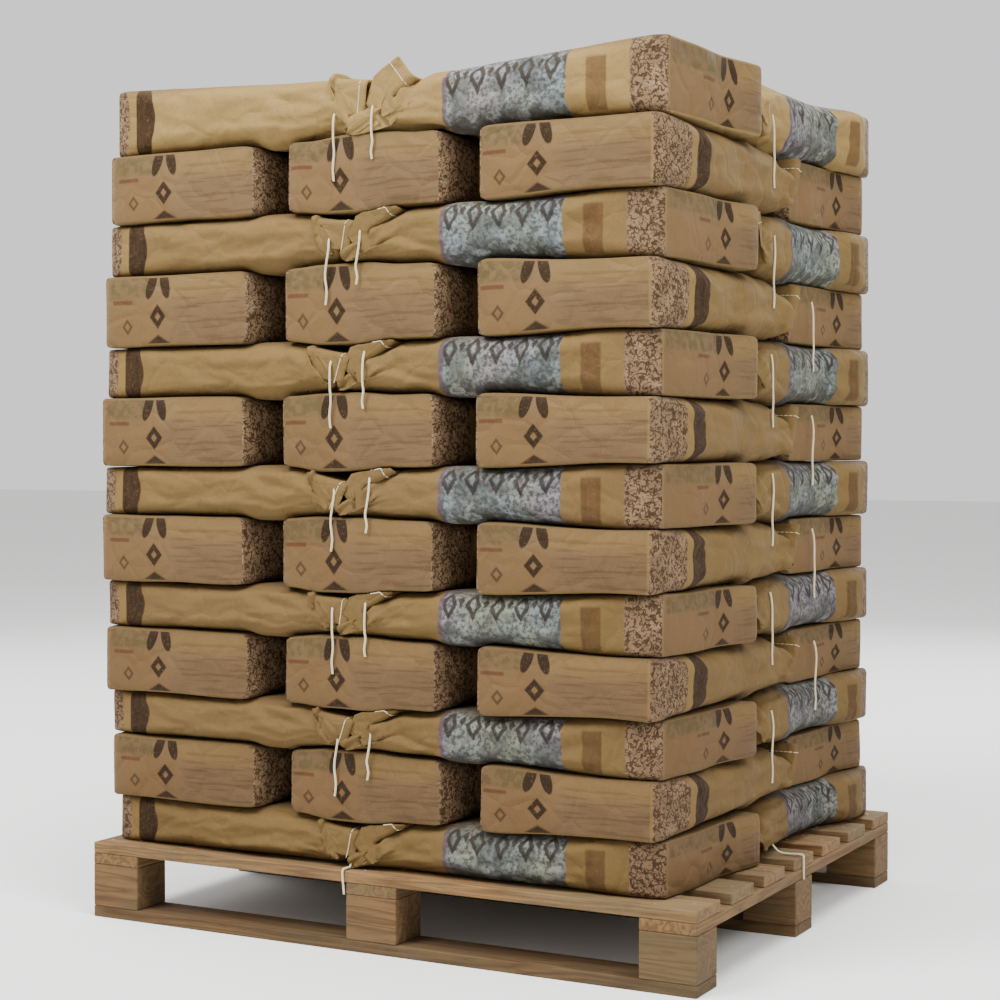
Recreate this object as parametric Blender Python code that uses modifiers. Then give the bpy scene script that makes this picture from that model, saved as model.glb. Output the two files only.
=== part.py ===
"""Pallet of sacks: thirteen layers of five paper sacks on a block pallet.

Metres, +Z up. The origin is at the bottom centre of the pallet, X runs along
its 1200 mm side, and -Y is the front, where the long sacks of the lowest
layer lie mouth to mouth.
"""
import math

import bpy
import bmesh
from mathutils import Matrix, Vector

OBJECT_NAME = "pallet_of_sacks"

# Clearance that touching pieces keep
GAP = 0.0003

# Pallet
PALLET_LENGTH = 1.200
PALLET_WIDTH = 1.000
BOARD_THICKNESS = 0.020
BLOCK_LENGTH = 0.100
BLOCK_WIDTH = 0.085
BLOCK_HEIGHT = 0.078
DECK_BOARDS = 7
DECK_BOARD_WIDTH = 0.100
WOOD_CHAMFER = 0.0015
PALLET_HEIGHT = 3 * BOARD_THICKNESS + BLOCK_HEIGHT

# Stack of sacks: it leans a little to the left and bulges at mid height
LAYERS = 13
LAYER_PITCH = 0.1062
STACK_LENGTH = 1.100
STACK_WIDTH = 0.956
STACK_BULGE = 0.012
STACK_SHIFT = -0.008
STACK_LEAN = -0.016
SACK_WIDTH = 0.388
SACK_CORNER = 0.040
BOTTOM_CORNER = 0.016
SIDE_BELLY = 0.004
HEIGHT_STEP = 0.0004
MOUTH_OVERLAP = 0.012

# Stations along a sack from its block bottom to its sewn mouth: the share
# of the length, of the full width and height, and the corner radius
SACK_STATIONS = (
    (0.00, 0.84, 0.92, BOTTOM_CORNER),
    (0.03, 0.89, 1.00, BOTTOM_CORNER),
    (0.45, 1.00, 1.00, SACK_CORNER),
    (0.78, 0.99, 0.98, SACK_CORNER),
    (0.91, 0.94, 0.82, SACK_CORNER),
    (1.00, 0.86, 0.40, SACK_CORNER),
)
SECTION_POINTS = 12

# Ends of sewing thread that hang from the mouths, by layer from the bottom:
# at X on the front face, and at Y on the right side. Each kind starts above
# and ends below the seam between two layers
THREAD_DIAMETER = 0.004
THREAD_POINTS = 14
THREAD_SEAT = THREAD_DIAMETER / 2 + 0.0004
LOW_THREAD = (0.030, 0.088)
HIGH_THREAD = (0.058, 0.055)
SIDE_THREAD = (0.045, 0.085)
EDGE_DROP = 0.040
FRONT_THREADS_LEFT = {2: -0.078, 4: -0.086, 6: -0.080, 8: -0.088, 10: -0.092, 12: -0.085}
FRONT_THREADS_RIGHT = {2: -0.012, 4: -0.020, 6: -0.010, 8: -0.022, 10: -0.030, 12: -0.008}
SIDE_THREADS_NEAR = {2: -0.010, 4: -0.014, 6: -0.006, 8: -0.012, 10: -0.004, 12: -0.016}
SIDE_THREADS_FAR = {3: 0.215, 5: 0.205, 7: 0.200, 9: 0.195}
PALLET_THREAD_X = -0.055
PALLET_THREAD_Y = -0.012

KRAFT = (0.53, 0.40, 0.24)
WOOD = (0.52, 0.38, 0.24)
THREAD_WHITE = (0.86, 0.85, 0.80)


def clear_scene():
    for item in list(bpy.data.objects):
        bpy.data.objects.remove(item, do_unlink=True)


def new_collection(name):
    collection = bpy.data.collections.new(name)
    bpy.context.scene.collection.children.link(collection)
    return collection


def new_material(name, colour, roughness):
    material = bpy.data.materials.new(name)
    material.use_nodes = True
    shader = material.node_tree.nodes["Principled BSDF"]
    shader.inputs["Base Color"].default_value = (*colour, 1.0)
    shader.inputs["Roughness"].default_value = roughness
    shader.inputs["Metallic"].default_value = 0.0
    material.diffuse_color = (*colour, 1.0)
    return material


def add_object(collection, name, data, material):
    item = bpy.data.objects.new(name, data)
    data.materials.append(material)
    collection.objects.link(item)
    return item


def add_timber(collection, name, size, centre, material):
    """A sawn piece of wood: a box with slightly broken edges."""
    mesh = bpy.data.meshes.new(name)
    shape = bmesh.new()
    bmesh.ops.create_cube(shape, size=1.0, matrix=Matrix.Diagonal((*size, 1.0)))
    shape.to_mesh(mesh)
    shape.free()
    timber = add_object(collection, name, mesh, material)
    timber.location = centre
    chamfer = timber.modifiers.new("chamfer", 'BEVEL')
    chamfer.width = WOOD_CHAMFER
    chamfer.segments = 1
    return timber


def rows_along(extent, piece):
    """The three centre lines of pieces at both edges and in the middle."""
    edge = (extent - piece) / 2
    return (("front", -edge), ("middle", 0.0), ("back", edge))


def columns_along(extent, piece):
    edge = (extent - piece) / 2
    return (("left", -edge), ("centre", 0.0), ("right", edge))


def level(bottom, thickness):
    """Centre height and thickness of a piece that rests on a seat."""
    return bottom + (thickness + GAP) / 2, thickness - GAP


def build_pallet(collection, material):
    """Three skids along X, nine blocks, three cross bars and the deck."""
    skid_z = BOARD_THICKNESS / 2
    block_z, block_height = level(BOARD_THICKNESS, BLOCK_HEIGHT)
    bar_z, bar_thickness = level(BOARD_THICKNESS + BLOCK_HEIGHT, BOARD_THICKNESS)
    deck_z, deck_thickness = level(2 * BOARD_THICKNESS + BLOCK_HEIGHT, BOARD_THICKNESS)
    rows = rows_along(PALLET_WIDTH, BLOCK_WIDTH)
    columns = columns_along(PALLET_LENGTH, BLOCK_LENGTH)

    for row, y in rows:
        size = (PALLET_LENGTH, BLOCK_WIDTH, BOARD_THICKNESS)
        add_timber(collection, f"skid_{row}", size, (0.0, y, skid_z), material)
        for column, x in columns:
            size = (BLOCK_LENGTH, BLOCK_WIDTH, block_height)
            add_timber(collection, f"block_{row}_{column}", size, (x, y, block_z), material)

    for column, x in columns:
        size = (BLOCK_LENGTH, PALLET_WIDTH, bar_thickness)
        add_timber(collection, f"cross_bar_{column}", size, (x, 0.0, bar_z), material)

    pitch = (PALLET_WIDTH - DECK_BOARD_WIDTH) / (DECK_BOARDS - 1)
    for number in range(DECK_BOARDS):
        y = (DECK_BOARD_WIDTH - PALLET_WIDTH) / 2 + number * pitch
        size = (PALLET_LENGTH, DECK_BOARD_WIDTH, deck_thickness)
        add_timber(collection, f"deck_board_{number + 1}", size, (0.0, y, deck_z), material)


def section_point(index, width, height, corner):
    """A point of a rounded rectangle, three to each corner, from +X on."""
    radius = min(corner, 0.49 * height)
    quarter, step = divmod(index, SECTION_POINTS // 4)
    angle = math.radians(90 * quarter + 45 * step)
    side = 1 if quarter in (0, 3) else -1
    lift = 1 if quarter in (0, 1) else -1
    x = side * (width / 2 - radius) + radius * math.cos(angle)
    z = lift * (height / 2 - radius) + radius * math.sin(angle)
    return x, z


def sack_mesh(length, width, height):
    """A filled sack along Y: block bottom at y = 0, sewn mouth at +Y.

    A cylinder is cut into rings, and each ring takes its own section.
    """
    shape = bmesh.new()
    upright = Matrix.Translation((0.0, 0.5, 0.0)) @ Matrix.Rotation(math.radians(-90), 4, 'X')
    bmesh.ops.create_cone(shape, cap_ends=True, segments=SECTION_POINTS,
                          radius1=1.0, radius2=1.0, depth=1.0, matrix=upright)
    for share, _, _, _ in SACK_STATIONS[1:-1]:
        parts = shape.verts[:] + shape.edges[:] + shape.faces[:]
        bmesh.ops.bisect_plane(shape, geom=parts, plane_co=(0.0, share, 0.0),
                               plane_no=(0.0, 1.0, 0.0))
    turn = 2 * math.pi / SECTION_POINTS
    for vert in shape.verts:
        station = min(SACK_STATIONS, key=lambda row: abs(row[0] - vert.co.y))
        index = round(math.atan2(vert.co.z, vert.co.x) / turn) % SECTION_POINTS
        x, z = section_point(index, width * station[1], height * station[2], station[3])
        vert.co = (x, length * station[0], z)
    bmesh.ops.recalc_face_normals(shape, faces=shape.faces)
    mesh = bpy.data.meshes.new("sack")
    shape.to_mesh(mesh)
    shape.free()
    return mesh


def sack_places(half_length, half_width):
    """Where the five sacks of a layer lie: (x, y) of the bottom, and turn."""
    long_y = -half_width + SACK_WIDTH / 2
    places = [(-half_length, long_y, -90.0), (half_length, long_y, 90.0)]
    for column in (-1, 0, 1):
        x = column * (half_length - SACK_WIDTH / 2 + SIDE_BELLY)
        places.append((x, half_width, 180.0))
    return places


def join_solids(first, others):
    """One solid from several that overlap, as a plain mesh."""
    for number, other in enumerate(others):
        union = first.modifiers.new(f"join_{number}", 'BOOLEAN')
        union.operation = 'UNION'
        union.solver = 'EXACT'
        union.object = other
    bpy.context.view_layer.update()
    graph = bpy.context.evaluated_depsgraph_get()
    joined = bpy.data.meshes.new_from_object(first.evaluated_get(graph))
    first.modifiers.clear()
    for other in others:
        bpy.data.objects.remove(other, do_unlink=True)
    return joined


def mid_height_share(number):
    """0 at the bottom and the top of the stack, and 1 at mid height."""
    return math.sin(math.pi * (number + 0.5) / LAYERS)


def layer_shift(number):
    return STACK_SHIFT + STACK_LEAN * mid_height_share(number)


def layer_half_length(number):
    return STACK_LENGTH / 2 + STACK_BULGE * mid_height_share(number)


def layer_half_width(number):
    return STACK_WIDTH / 2 + STACK_BULGE * mid_height_share(number)


def layer_bottom(number):
    return PALLET_HEIGHT + number * LAYER_PITCH + GAP


def build_layer(collection, cutters, number, material):
    """One layer: five sacks in one solid, with the gaps between them.

    The layers above each other are turned by half a turn, so that the
    sacks interlock: two lie along X on one side, three across on the other.
    """
    half_length = layer_half_length(number)
    half_width = layer_half_width(number)
    height = LAYER_PITCH - GAP
    shifted = Matrix.Translation((layer_shift(number), 0.0, 0.0))
    turned = shifted @ Matrix.Rotation(math.pi if number % 2 else 0.0, 4, 'Z')
    sacks = []
    for order, (x, y, degrees) in enumerate(sack_places(half_length, half_width)):
        reach = half_length if order < 2 else 2 * half_width - SACK_WIDTH
        tall = height - order * HEIGHT_STEP
        mesh = sack_mesh(reach + MOUTH_OVERLAP, SACK_WIDTH, tall)
        z = layer_bottom(number) + height / 2
        place = Matrix.Translation((x, y, z)) @ Matrix.Rotation(math.radians(degrees), 4, 'Z')
        sack = add_object(cutters, f"sack_{number}_{order}", mesh, material)
        sack.matrix_world = turned @ place
        sacks.append(sack)
    joined = join_solids(sacks[0], sacks[1:])
    name = f"sack_layer_{number + 1:02d}"
    joined.name = name
    joined.transform(sacks[0].matrix_world)
    bpy.data.objects.remove(sacks[0], do_unlink=True)
    item = bpy.data.objects.new(name, joined)
    collection.objects.link(item)
    return item


def smooth_route(route, count):
    """Points evenly spread on a Catmull-Rom curve through a route."""
    ends = [2 * route[0] - route[1]] + route + [2 * route[-1] - route[-2]]
    spans = len(route) - 1
    points = []
    for number in range(count):
        place = number * spans / (count - 1)
        span = min(int(place), spans - 1)
        t = place - span
        a, b, c, d = ends[span:span + 4]
        points.append(0.5 * (2 * b + (c - a) * t + (2 * a - 5 * b + 4 * c - d) * t ** 2
                             + (3 * b - a - 3 * c + d) * t ** 3))
    return points


def add_thread(collection, name, route, material):
    """A hanging end of sewing thread: a round tube with closed ends."""
    curve = bpy.data.curves.new(name, 'CURVE')
    curve.dimensions = '3D'
    curve.bevel_depth = THREAD_DIAMETER / 2
    curve.bevel_resolution = 2
    curve.use_fill_caps = True
    spline = curve.splines.new('POLY')
    spline.points.add(THREAD_POINTS - 1)
    for point, place in zip(spline.points, smooth_route(route, THREAD_POINTS)):
        point.co = (*place, 1.0)
    return add_object(collection, name, curve, material)


def width_share(share):
    """A sack's width at a share of its length, as a share of the full one."""
    for low, high in zip(SACK_STATIONS, SACK_STATIONS[1:]):
        if share <= high[0]:
            part = (share - low[0]) / (high[0] - low[0])
            return low[1] + part * (high[1] - low[1])
    return SACK_STATIONS[-1][1]


def front_reach(number, x):
    """How far the front long sacks of a layer reach out at x, from y = 0."""
    length = layer_half_length(number) + MOUTH_OVERLAP
    share = (layer_half_length(number) - abs(x - layer_shift(number))) / length
    inner = layer_half_width(number) - SACK_WIDTH / 2
    return inner + width_share(share) * SACK_WIDTH / 2


def side_reach(number, y):
    """How far the right cross sack of a layer reaches out at y, from x = 0."""
    half_width = layer_half_width(number)
    bottom_y = -half_width if number % 2 else half_width
    share = abs(bottom_y - y) / (2 * half_width - SACK_WIDTH + MOUTH_OVERLAP)
    centre = layer_half_length(number) - SACK_WIDTH / 2 + SIDE_BELLY
    return layer_shift(number) + centre + width_share(share) * SACK_WIDTH / 2


def side_rest(number, y, sway):
    """Where a thread that sways along the right side stays clear of it."""
    return max(side_reach(number, y), side_reach(number, y + sway))


def end_reach(number):
    """Where the right block bottoms of the long sacks end."""
    return layer_shift(number) + layer_half_length(number)


def sack_route(upper, lower, seam, sway, kind):
    """Out of a mouth and down the sack below: along, out and height."""
    rise, drop = kind
    start, rest = upper + THREAD_SEAT, lower + THREAD_SEAT
    outer = max(start, rest)
    return [
        (0.0, start, seam + rise),
        (0.001, start + 0.7 * (outer - start), seam + 0.7 * rise),
        (0.002, outer, seam + 0.25 * rise),
        (0.5 * sway, rest + 0.3 * (outer - rest), seam - 0.2 * drop),
        (sway, rest, seam - 0.45 * drop),
        (0.3 * sway, rest, seam - 0.75 * drop),
        (0.8 * sway, rest, seam - drop),
    ]


def edge_route(upper, edge, seam):
    """Out of a mouth, over the deck and down the pallet's edge."""
    start, rest = upper + THREAD_SEAT, edge + THREAD_SEAT
    return [
        (0.0, start, seam + 0.020),
        (0.001, start + 0.3 * (edge - start), seam + THREAD_SEAT + 0.001),
        (0.002, edge - 0.008, seam + THREAD_SEAT + 0.001),
        (0.001, edge + 0.002, seam + THREAD_SEAT),
        (0.000, rest + 0.0005, seam - 0.007),
        (0.003, rest, seam - EDGE_DROP),
    ]


def hang_on_front(x, route):
    return [Vector((x + along, -out, z)) for along, out, z in route]


def hang_on_side(y, route):
    return [Vector((out, y + along, z)) for along, out, z in route]


def sway_of(order):
    return 0.004 if order % 2 else -0.005


def build_threads(collection, material):
    """Thread ends hang over the layer below, or over the pallet's edge."""
    front = (("left", FRONT_THREADS_LEFT, LOW_THREAD), ("right", FRONT_THREADS_RIGHT, HIGH_THREAD))
    for side, places, kind in front:
        for order, (number, x) in enumerate(places.items()):
            route = sack_route(front_reach(number, x), layer_half_width(number - 1),
                               layer_bottom(number), sway_of(order), kind)
            name = f"thread_front_{side}_{number + 1:02d}"
            add_thread(collection, name, hang_on_front(x, route), material)

    for order, (number, y) in enumerate(SIDE_THREADS_NEAR.items()):
        sway = sway_of(order)
        route = sack_route(side_reach(number, y), side_rest(number - 1, y, sway),
                           layer_bottom(number), sway, SIDE_THREAD)
        add_thread(collection, f"thread_side_near_{number + 1:02d}",
                   hang_on_side(y, route), material)
    for order, (number, y) in enumerate(SIDE_THREADS_FAR.items()):
        sway = sway_of(order)
        route = sack_route(end_reach(number), side_rest(number - 1, y, sway),
                           layer_bottom(number), sway, SIDE_THREAD)
        add_thread(collection, f"thread_side_far_{number + 1:02d}",
                   hang_on_side(y, route), material)

    seam = layer_bottom(0)
    route = edge_route(front_reach(0, PALLET_THREAD_X), PALLET_WIDTH / 2, seam)
    add_thread(collection, "thread_front_01", hang_on_front(PALLET_THREAD_X, route), material)
    route = edge_route(side_reach(0, PALLET_THREAD_Y), PALLET_LENGTH / 2, seam)
    add_thread(collection, "thread_side_01", hang_on_side(PALLET_THREAD_Y, route), material)


def main():
    clear_scene()
    collection = new_collection(OBJECT_NAME)
    cutters = new_collection("cutters")
    kraft = new_material("kraft_paper", KRAFT, 0.85)
    wood = new_material("pallet_wood", WOOD, 0.8)
    build_pallet(collection, wood)
    for number in range(LAYERS):
        build_layer(collection, cutters, number, kraft)
    build_threads(collection, new_material("sewing_thread", THREAD_WHITE, 0.7))


if __name__ == "__main__":
    main()
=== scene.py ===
"""Pallet of sacks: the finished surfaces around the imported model.

The file is laid out as a Blender add-on and is run as a script. Metres, +Z up.
X runs along the pallet's long side and -Y is the front.
"""

import math
from dataclasses import dataclass

import bpy
import numpy as np
from bpy.props import FloatProperty, FloatVectorProperty, IntProperty, PointerProperty
from bpy.types import Operator, Panel, PropertyGroup
from mathutils import Matrix, Vector


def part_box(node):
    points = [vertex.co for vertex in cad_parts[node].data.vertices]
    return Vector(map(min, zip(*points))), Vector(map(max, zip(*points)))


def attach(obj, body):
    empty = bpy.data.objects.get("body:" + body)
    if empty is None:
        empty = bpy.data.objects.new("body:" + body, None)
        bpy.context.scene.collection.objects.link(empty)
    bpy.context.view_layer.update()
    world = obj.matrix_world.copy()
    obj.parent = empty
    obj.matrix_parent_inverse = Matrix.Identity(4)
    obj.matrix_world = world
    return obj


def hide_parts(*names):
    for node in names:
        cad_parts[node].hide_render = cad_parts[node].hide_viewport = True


bl_info = {
    "name": "Pallet of Sacks",
    "version": (1, 0, 0),
    "blender": (4, 5, 0),
    "location": "View3D > Sidebar > Sacks",
    "description": "Dresses a stack of paper sacks on a block pallet",
    "category": "Object",
}

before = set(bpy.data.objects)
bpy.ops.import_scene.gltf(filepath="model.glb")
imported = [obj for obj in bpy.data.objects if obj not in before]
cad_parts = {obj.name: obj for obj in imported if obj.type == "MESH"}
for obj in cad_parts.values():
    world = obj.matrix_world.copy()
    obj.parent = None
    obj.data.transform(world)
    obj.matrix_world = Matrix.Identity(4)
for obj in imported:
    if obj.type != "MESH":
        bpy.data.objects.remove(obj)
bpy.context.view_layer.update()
BODY = "root"

# The stack, as the frame's layers give it
LAYERS = 13
TOP_LAYER = LAYERS - 1
LAYER_NODES = [f"sack_layer_{number + 1:02d}" for number in range(LAYERS)]
LAYER_BOXES = [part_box(node) for node in LAYER_NODES]
GAP = 0.0003
SIDE_BELLY = 0.004
DECK_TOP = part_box("deck_board_1")[1].z
PALLET_HALF_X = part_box("skid_front")[1].x
PALLET_HALF_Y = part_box("cross_bar_centre")[1].y
LAYER_PITCH = (LAYER_BOXES[-1][1].z - DECK_TOP) / LAYERS

# A sack at its full size, lying flat. The cross sacks are narrower where they
# press on each other. The fin is the flat, sewn end of the mouth
SACK_WIDTH = 0.388
HALF_WIDTH = SACK_WIDTH / 2
GIRTH = 0.880
CROSS_HALF = 0.178
CROWN = 0.004
EDGE_ROUND = 0.0035
END_SHRINK = 0.015
CAP_CORNER = 0.004
CAP_SLIT = 0.002
FIN_HALF = 0.229
FIN_THICKNESS = 0.0055
FIN_CORNER = 0.003
EAR_RADIUS = 0.010
EAR_SLACK = 0.006
SEAM_INSET = 0.018
CONTACT_GAP = 0.0006

# How the height of a sack closes towards its neck
NECK_SHARE = 0.80
NECK_CROWDING = 1.5
MOUTH_FLAT = 0.09
TOP_FALL = 1.7
BOTTOM_RISE = 2.8
BELLY_FROM = 0.84
BELLY_HANG = 2.4
MOUTH_EDGE = (0.45, 1.05)
TURN_RISE = (-0.1, 0.30)

# How unevenly the layers are laid: the left long sacks reach further out, the
# turned layers' cross sacks lie off the middle, and block bottoms stand askew
LEFT_REACH = 0.024
TURNED_SHIFTS = {-1: 0.0, 0: 0.015, 1: 0.030}
BACK_SKEW = 0.045
SKEW_FROM = 0.26
SKEW_FULL = 0.08

# How much one sack differs from the next: the place of its bottom and its side,
# its turn in degrees, the turns of its mouth and the place of its neck
END_WANDER = 0.003
SIDE_WANDER = 0.002
TURN_WANDER = 0.3
MOUTH_WANDER = 7.0
LONG_NECK_WANDER = (-0.005, 0.003)
CROSS_NECK_WANDER = (-0.003, 0.003)

# How far the corners of a bottom stand back, or out below 0, at the sides p and q
LEFT_CORNERS = (0.005, 0.007)
LEFT_TURNED_CORNERS = (-0.022, 0.012)
RIGHT_CORNERS = (-0.024, 0.012)
CROSS_CORNERS = (0.002, 0.002)
CORNER_SPAN = (0.02, 0.17)
CORNER_DEPTH = 0.15

# Where the necks of the long sacks lie, from the middle, and how much the sacks
# slope down to them: in the layers below, then in the top layer
LEFT_NECKS = ((-0.100, 0.0), (-0.072, 0.13))
RIGHT_NECKS = ((-0.002, 0.0), (-0.045, 0.21))
CROSS_NECK = -0.018
DROOP_RISE = 0.30

# Layers under load are thinner than those at the top, and the turned layers
# are thicker along the front than the sacks between them
LOAD_SQUEEZE = 0.11
TURNED_SWELL = 0.009
SWELL_FRONT = (-0.10, 0.30)
SWELL_RIGHT = (0.20, 0.45)

# How far the prints are out of register on bottoms and on sides
BOTTOM_SLIDE = 0.095
SIDE_SLIDE = 0.070

# Grid of a sack's skin: rings along it, points around it
CAP_RINGS = 6
EDGE_RINGS = 4
BODY_RINGS = 40
NECK_RINGS = 17
FIN_RINGS = 9
OUTER_STEPS = 17
INNER_STEPS = 8
FLAT_STEPS = 8
FLAT_SHARE = 0.172
ARC_STEPS = 10

# Thread ends: diameter, rise and drop at their mouths, and their places
THREAD_DIAMETER = 0.004
THREAD_POINTS = 14
THREAD_SEAT = THREAD_DIAMETER / 2 + 0.0004
THREAD_SWAYS = (-0.005, 0.004)
LOW_THREAD = (0.030, 0.088)
HIGH_THREAD = (0.058, 0.055)
SIDE_THREAD = (0.045, 0.085)
EDGE_RISE = 0.020
EDGE_DROP = 0.040
MOUTH_OVERLAP = 0.012
FRONT_THREADS_LEFT = {2: -0.078, 4: -0.086, 6: -0.080, 8: -0.088, 10: -0.092, 12: -0.085}
FRONT_THREADS_RIGHT = {2: -0.012, 4: -0.020, 6: -0.010, 8: -0.022, 10: -0.030, 12: -0.008}
SIDE_THREADS_NEAR = {2: -0.010, 4: -0.014, 6: -0.006, 8: -0.012, 10: -0.004, 12: -0.016}
SIDE_THREADS_FAR = {3: 0.215, 5: 0.205, 7: 0.200, 9: 0.195}
PALLET_THREAD_X = -0.055
PALLET_THREAD_Y = -0.012
# widths of the solids at shares of a sack's length, which the threads lie on
SOLID_WIDTHS = ((0.00, 0.84), (0.03, 0.89), (0.45, 1.0), (0.78, 0.99), (0.91, 0.94), (1.0, 0.86))

# How the paper gives way under a thread
THREAD_BED = THREAD_DIAMETER / 2 + 0.0006
BED_SLOPE = 0.28
BED_REACH = 0.045

# The paper as a cloth, a little too large for its sack and blown up from inside
PAPER_CLOTH = {"quality": 5, "mass": 0.35, "tension_stiffness": 40.0,
               "compression_stiffness": 40.0, "shear_stiffness": 30.0,
               "bending_stiffness": 4.0, "shrink_min": -0.045,
               "use_pressure": True, "uniform_pressure_force": 2.5}
START_ROUGHNESS = 0.004
BODY_LUMPS = 0.0022
END_LUMPS = 0.0012

# What the paper's material reads at each point: a tone of its own for each sack,
# painted shade near the seams, painted light on the top layer, and how far its prints are
# shifted
MARKS = ("batch", "hollow", "bleach", "slide_end", "slide_side")

# Soft lights: place, size across and power
LIGHTS = {
    "key": ((-1.8, -3.8, 5.2), 2.6, 490.0),
    "overhead": ((1.2, -1.6, 5.6), 2.8, 340.0),
    "right": ((4.2, -1.6, 4.2), 2.4, 150.0),
    "back": ((0.5, 5.0, 3.2), 3.0, 200.0),
    "left": ((-5.0, 1.4, 2.6), 3.0, 110.0),
}
LIGHT_TARGET = (0.0, 0.0, 0.9)
BACKDROP_STRENGTH = 1.05
SENSOR_WIDTH = 36.0


# Settings that a user would change

def colour_setting(name, description, *channels):
    return FloatVectorProperty(name=name, description=description, subtype='COLOR', size=3,
                               default=channels)


def length_setting(name, description, default, largest):
    return FloatProperty(name=name, description=description, default=default,
                         min=0.0, max=largest, unit='LENGTH')


def count_setting(name, description, default, least, most):
    return IntProperty(name=name, description=description, default=default, min=least, max=most)


def angle_setting(name, description, degrees):
    return FloatProperty(name=name, description=description, default=math.radians(degrees),
                         subtype='ANGLE')


class SackSettings(PropertyGroup):
    kraft: colour_setting("Kraft", "Colour of the bare paper", 0.152, 0.096, 0.031)
    kraft_end: colour_setting("Block Bottom", "Colour of the block bottoms", 0.138, 0.085, 0.041)
    ink: colour_setting("Brown Ink", "Colour of the dark print", 0.0135, 0.0058, 0.0018)
    panel: colour_setting("Panel", "Colour of the speckled panel", 0.104, 0.128, 0.138)
    sag: length_setting("Sag", "How far a sack sinks into a gap below it", 0.007, 0.03)
    swell: length_setting("Swell", "How far a sack rises into a gap above it", 0.004, 0.03)
    crease_depth: length_setting("Crease Depth", "Depth of the paper's creases", 0.0034, 0.01)
    creases: count_setting("Creases", "Creases on each sack", 34, 0, 200)
    pleat_depth: length_setting("Pleat Depth", "Depth of the mouth's gathers", 0.0030, 0.01)
    cloth_cap: length_setting("Cloth Cap", "Farthest that the simulation moves", 0.0075, 0.02)
    cloth_frames: count_setting("Cloth Frames", "Steps of each simulation", 14, 1, 60)
    variants: count_setting("Variants", "Sacks that are simulated", 4, 1, 8)
    seed: count_setting("Seed", "Seed of everything random", 7, 0, 9999)


class StitchSettings(PropertyGroup):
    pitch: length_setting("Pitch", "From one stitch to the next", 0.0085, 0.05)
    length: length_setting("Length", "Length of a stitch", 0.0062, 0.05)
    thickness: length_setting("Thickness", "Thickness of the sewing thread", 0.0016, 0.01)
    thread: colour_setting("Thread", "Colour of the sewing thread", 0.54, 0.46, 0.31)


class TimberSettings(PropertyGroup):
    light_wood: colour_setting("Light Wood", "Colour of the early wood", 0.190, 0.106, 0.042)
    dark_wood: colour_setting("Dark Wood", "Colour of the late wood", 0.100, 0.050, 0.018)
    weather: colour_setting("Weathering", "Colour of the grey bloom", 0.090, 0.075, 0.038)
    nail_head: length_setting("Nail Head", "Diameter of a nail's head", 0.0085, 0.02)
    nail_proud: length_setting("Nail Stands Proud", "How far a head stands up", 0.0007, 0.005)


class StageSettings(PropertyGroup):
    eye: FloatVectorProperty(name="Camera", description="Place of the camera", size=3,
                             subtype='TRANSLATION', default=(1.8115, -3.4438, 0.8634))
    heading: angle_setting("Heading", "Camera's turn to the left", 28.36)
    tilt: angle_setting("Tilt", "Camera's tilt downwards", 1.36)
    lens: FloatProperty(name="Lens", description="Focal length", default=73.04, unit='CAMERA')
    shift: FloatVectorProperty(name="Shift", description="Camera's shift across and up", size=2,
                               default=(0.0149, -0.0025))
    floor: colour_setting("Floor", "Colour of the floor", 0.80, 0.80, 0.79)
    floor_size: length_setting("Floor Size", "Side of the floor", 60.0, 200.0)


class PalletOfSacksSettings(PropertyGroup):
    sacks: PointerProperty(type=SackSettings, name="Sacks", description="The paper sacks")
    stitches: PointerProperty(type=StitchSettings, name="Stitches", description="The sewing")
    timber: PointerProperty(type=TimberSettings, name="Timber", description="The pallet")
    stage: PointerProperty(type=StageSettings, name="Stage", description="Camera and floor")


# Small helpers for meshes

def new_object(name, data):
    item = bpy.data.objects.new(name, data)
    bpy.context.scene.collection.objects.link(item)
    return item


def ease(x, low=0.0, high=1.0):
    """0 below low, 1 above high and a smooth step between."""
    t = np.clip((x - low) / (high - low), 0.0, 1.0)
    return t * t * (3 - 2 * t)


def by_side(x, pair):
    """The first of a pair on side p and the second on side q."""
    return np.where(x > 0, *pair)


def soft_profile(stations, shares, spread=0.03):
    """A profile through stations, with its kinks rounded off."""
    places, values = np.array(stations).T
    shifts = np.linspace(-spread, spread, 7)
    return np.mean([np.interp(shares + shift, places, values) for shift in shifts], axis=0)


# Where the layers and sacks lie

def layer_shift(number):
    low, high = LAYER_BOXES[number]
    return (low.x + high.x) / 2


def layer_half_length(number):
    low, high = LAYER_BOXES[number]
    return (high.x - low.x) / 2 - SIDE_BELLY


def layer_half_width(number):
    low, high = LAYER_BOXES[number]
    return (high.y - low.y) / 2


def layer_bottom(number):
    return DECK_TOP + number * LAYER_PITCH + GAP


def seam_level(number):
    """Height of the seam under a layer, with the sacks squeezed by their load."""
    squeeze = LOAD_SQUEEZE * number * (number - LAYERS) / TOP_LAYER
    return layer_bottom(number) + squeeze * LAYER_PITCH


@dataclass
class Mouth:
    """How the end of a sack closes: shares of its height and length, and turns.

    The top panel falls from top_from on and the bottom panel rises from
    bottom_from on, until both meet in the fin at the height level. The fin
    turns in its middle and, by edge_turns, at its sides p and q, where its ears
    fold down by shares. The ear is what a folded side of the fin is wider by,
    and the belly is how far the bottom panel bulges out below the fin.
    """
    level: float
    top_from: float
    bottom_from: float
    fin: float
    turn: float
    edge_turns: tuple
    folds: tuple
    ear: float
    belly: float


@dataclass
class Sack:
    """One sack: where it lies, how wide it is and how its mouth is bent.

    In its own space the sack lies along +Y from its block bottom, with the
    side called p at +X and the side called q at -X. The half widths and the
    corners of the bottom are given for p and then for q.
    """
    name: str
    layer: int
    outward: str
    place: np.ndarray
    neck: float
    halves: tuple
    corners: tuple
    skew: float
    droop: float
    slide_end: float
    slide_side: float
    mouth: Mouth
    variant: int
    seed: int


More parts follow.
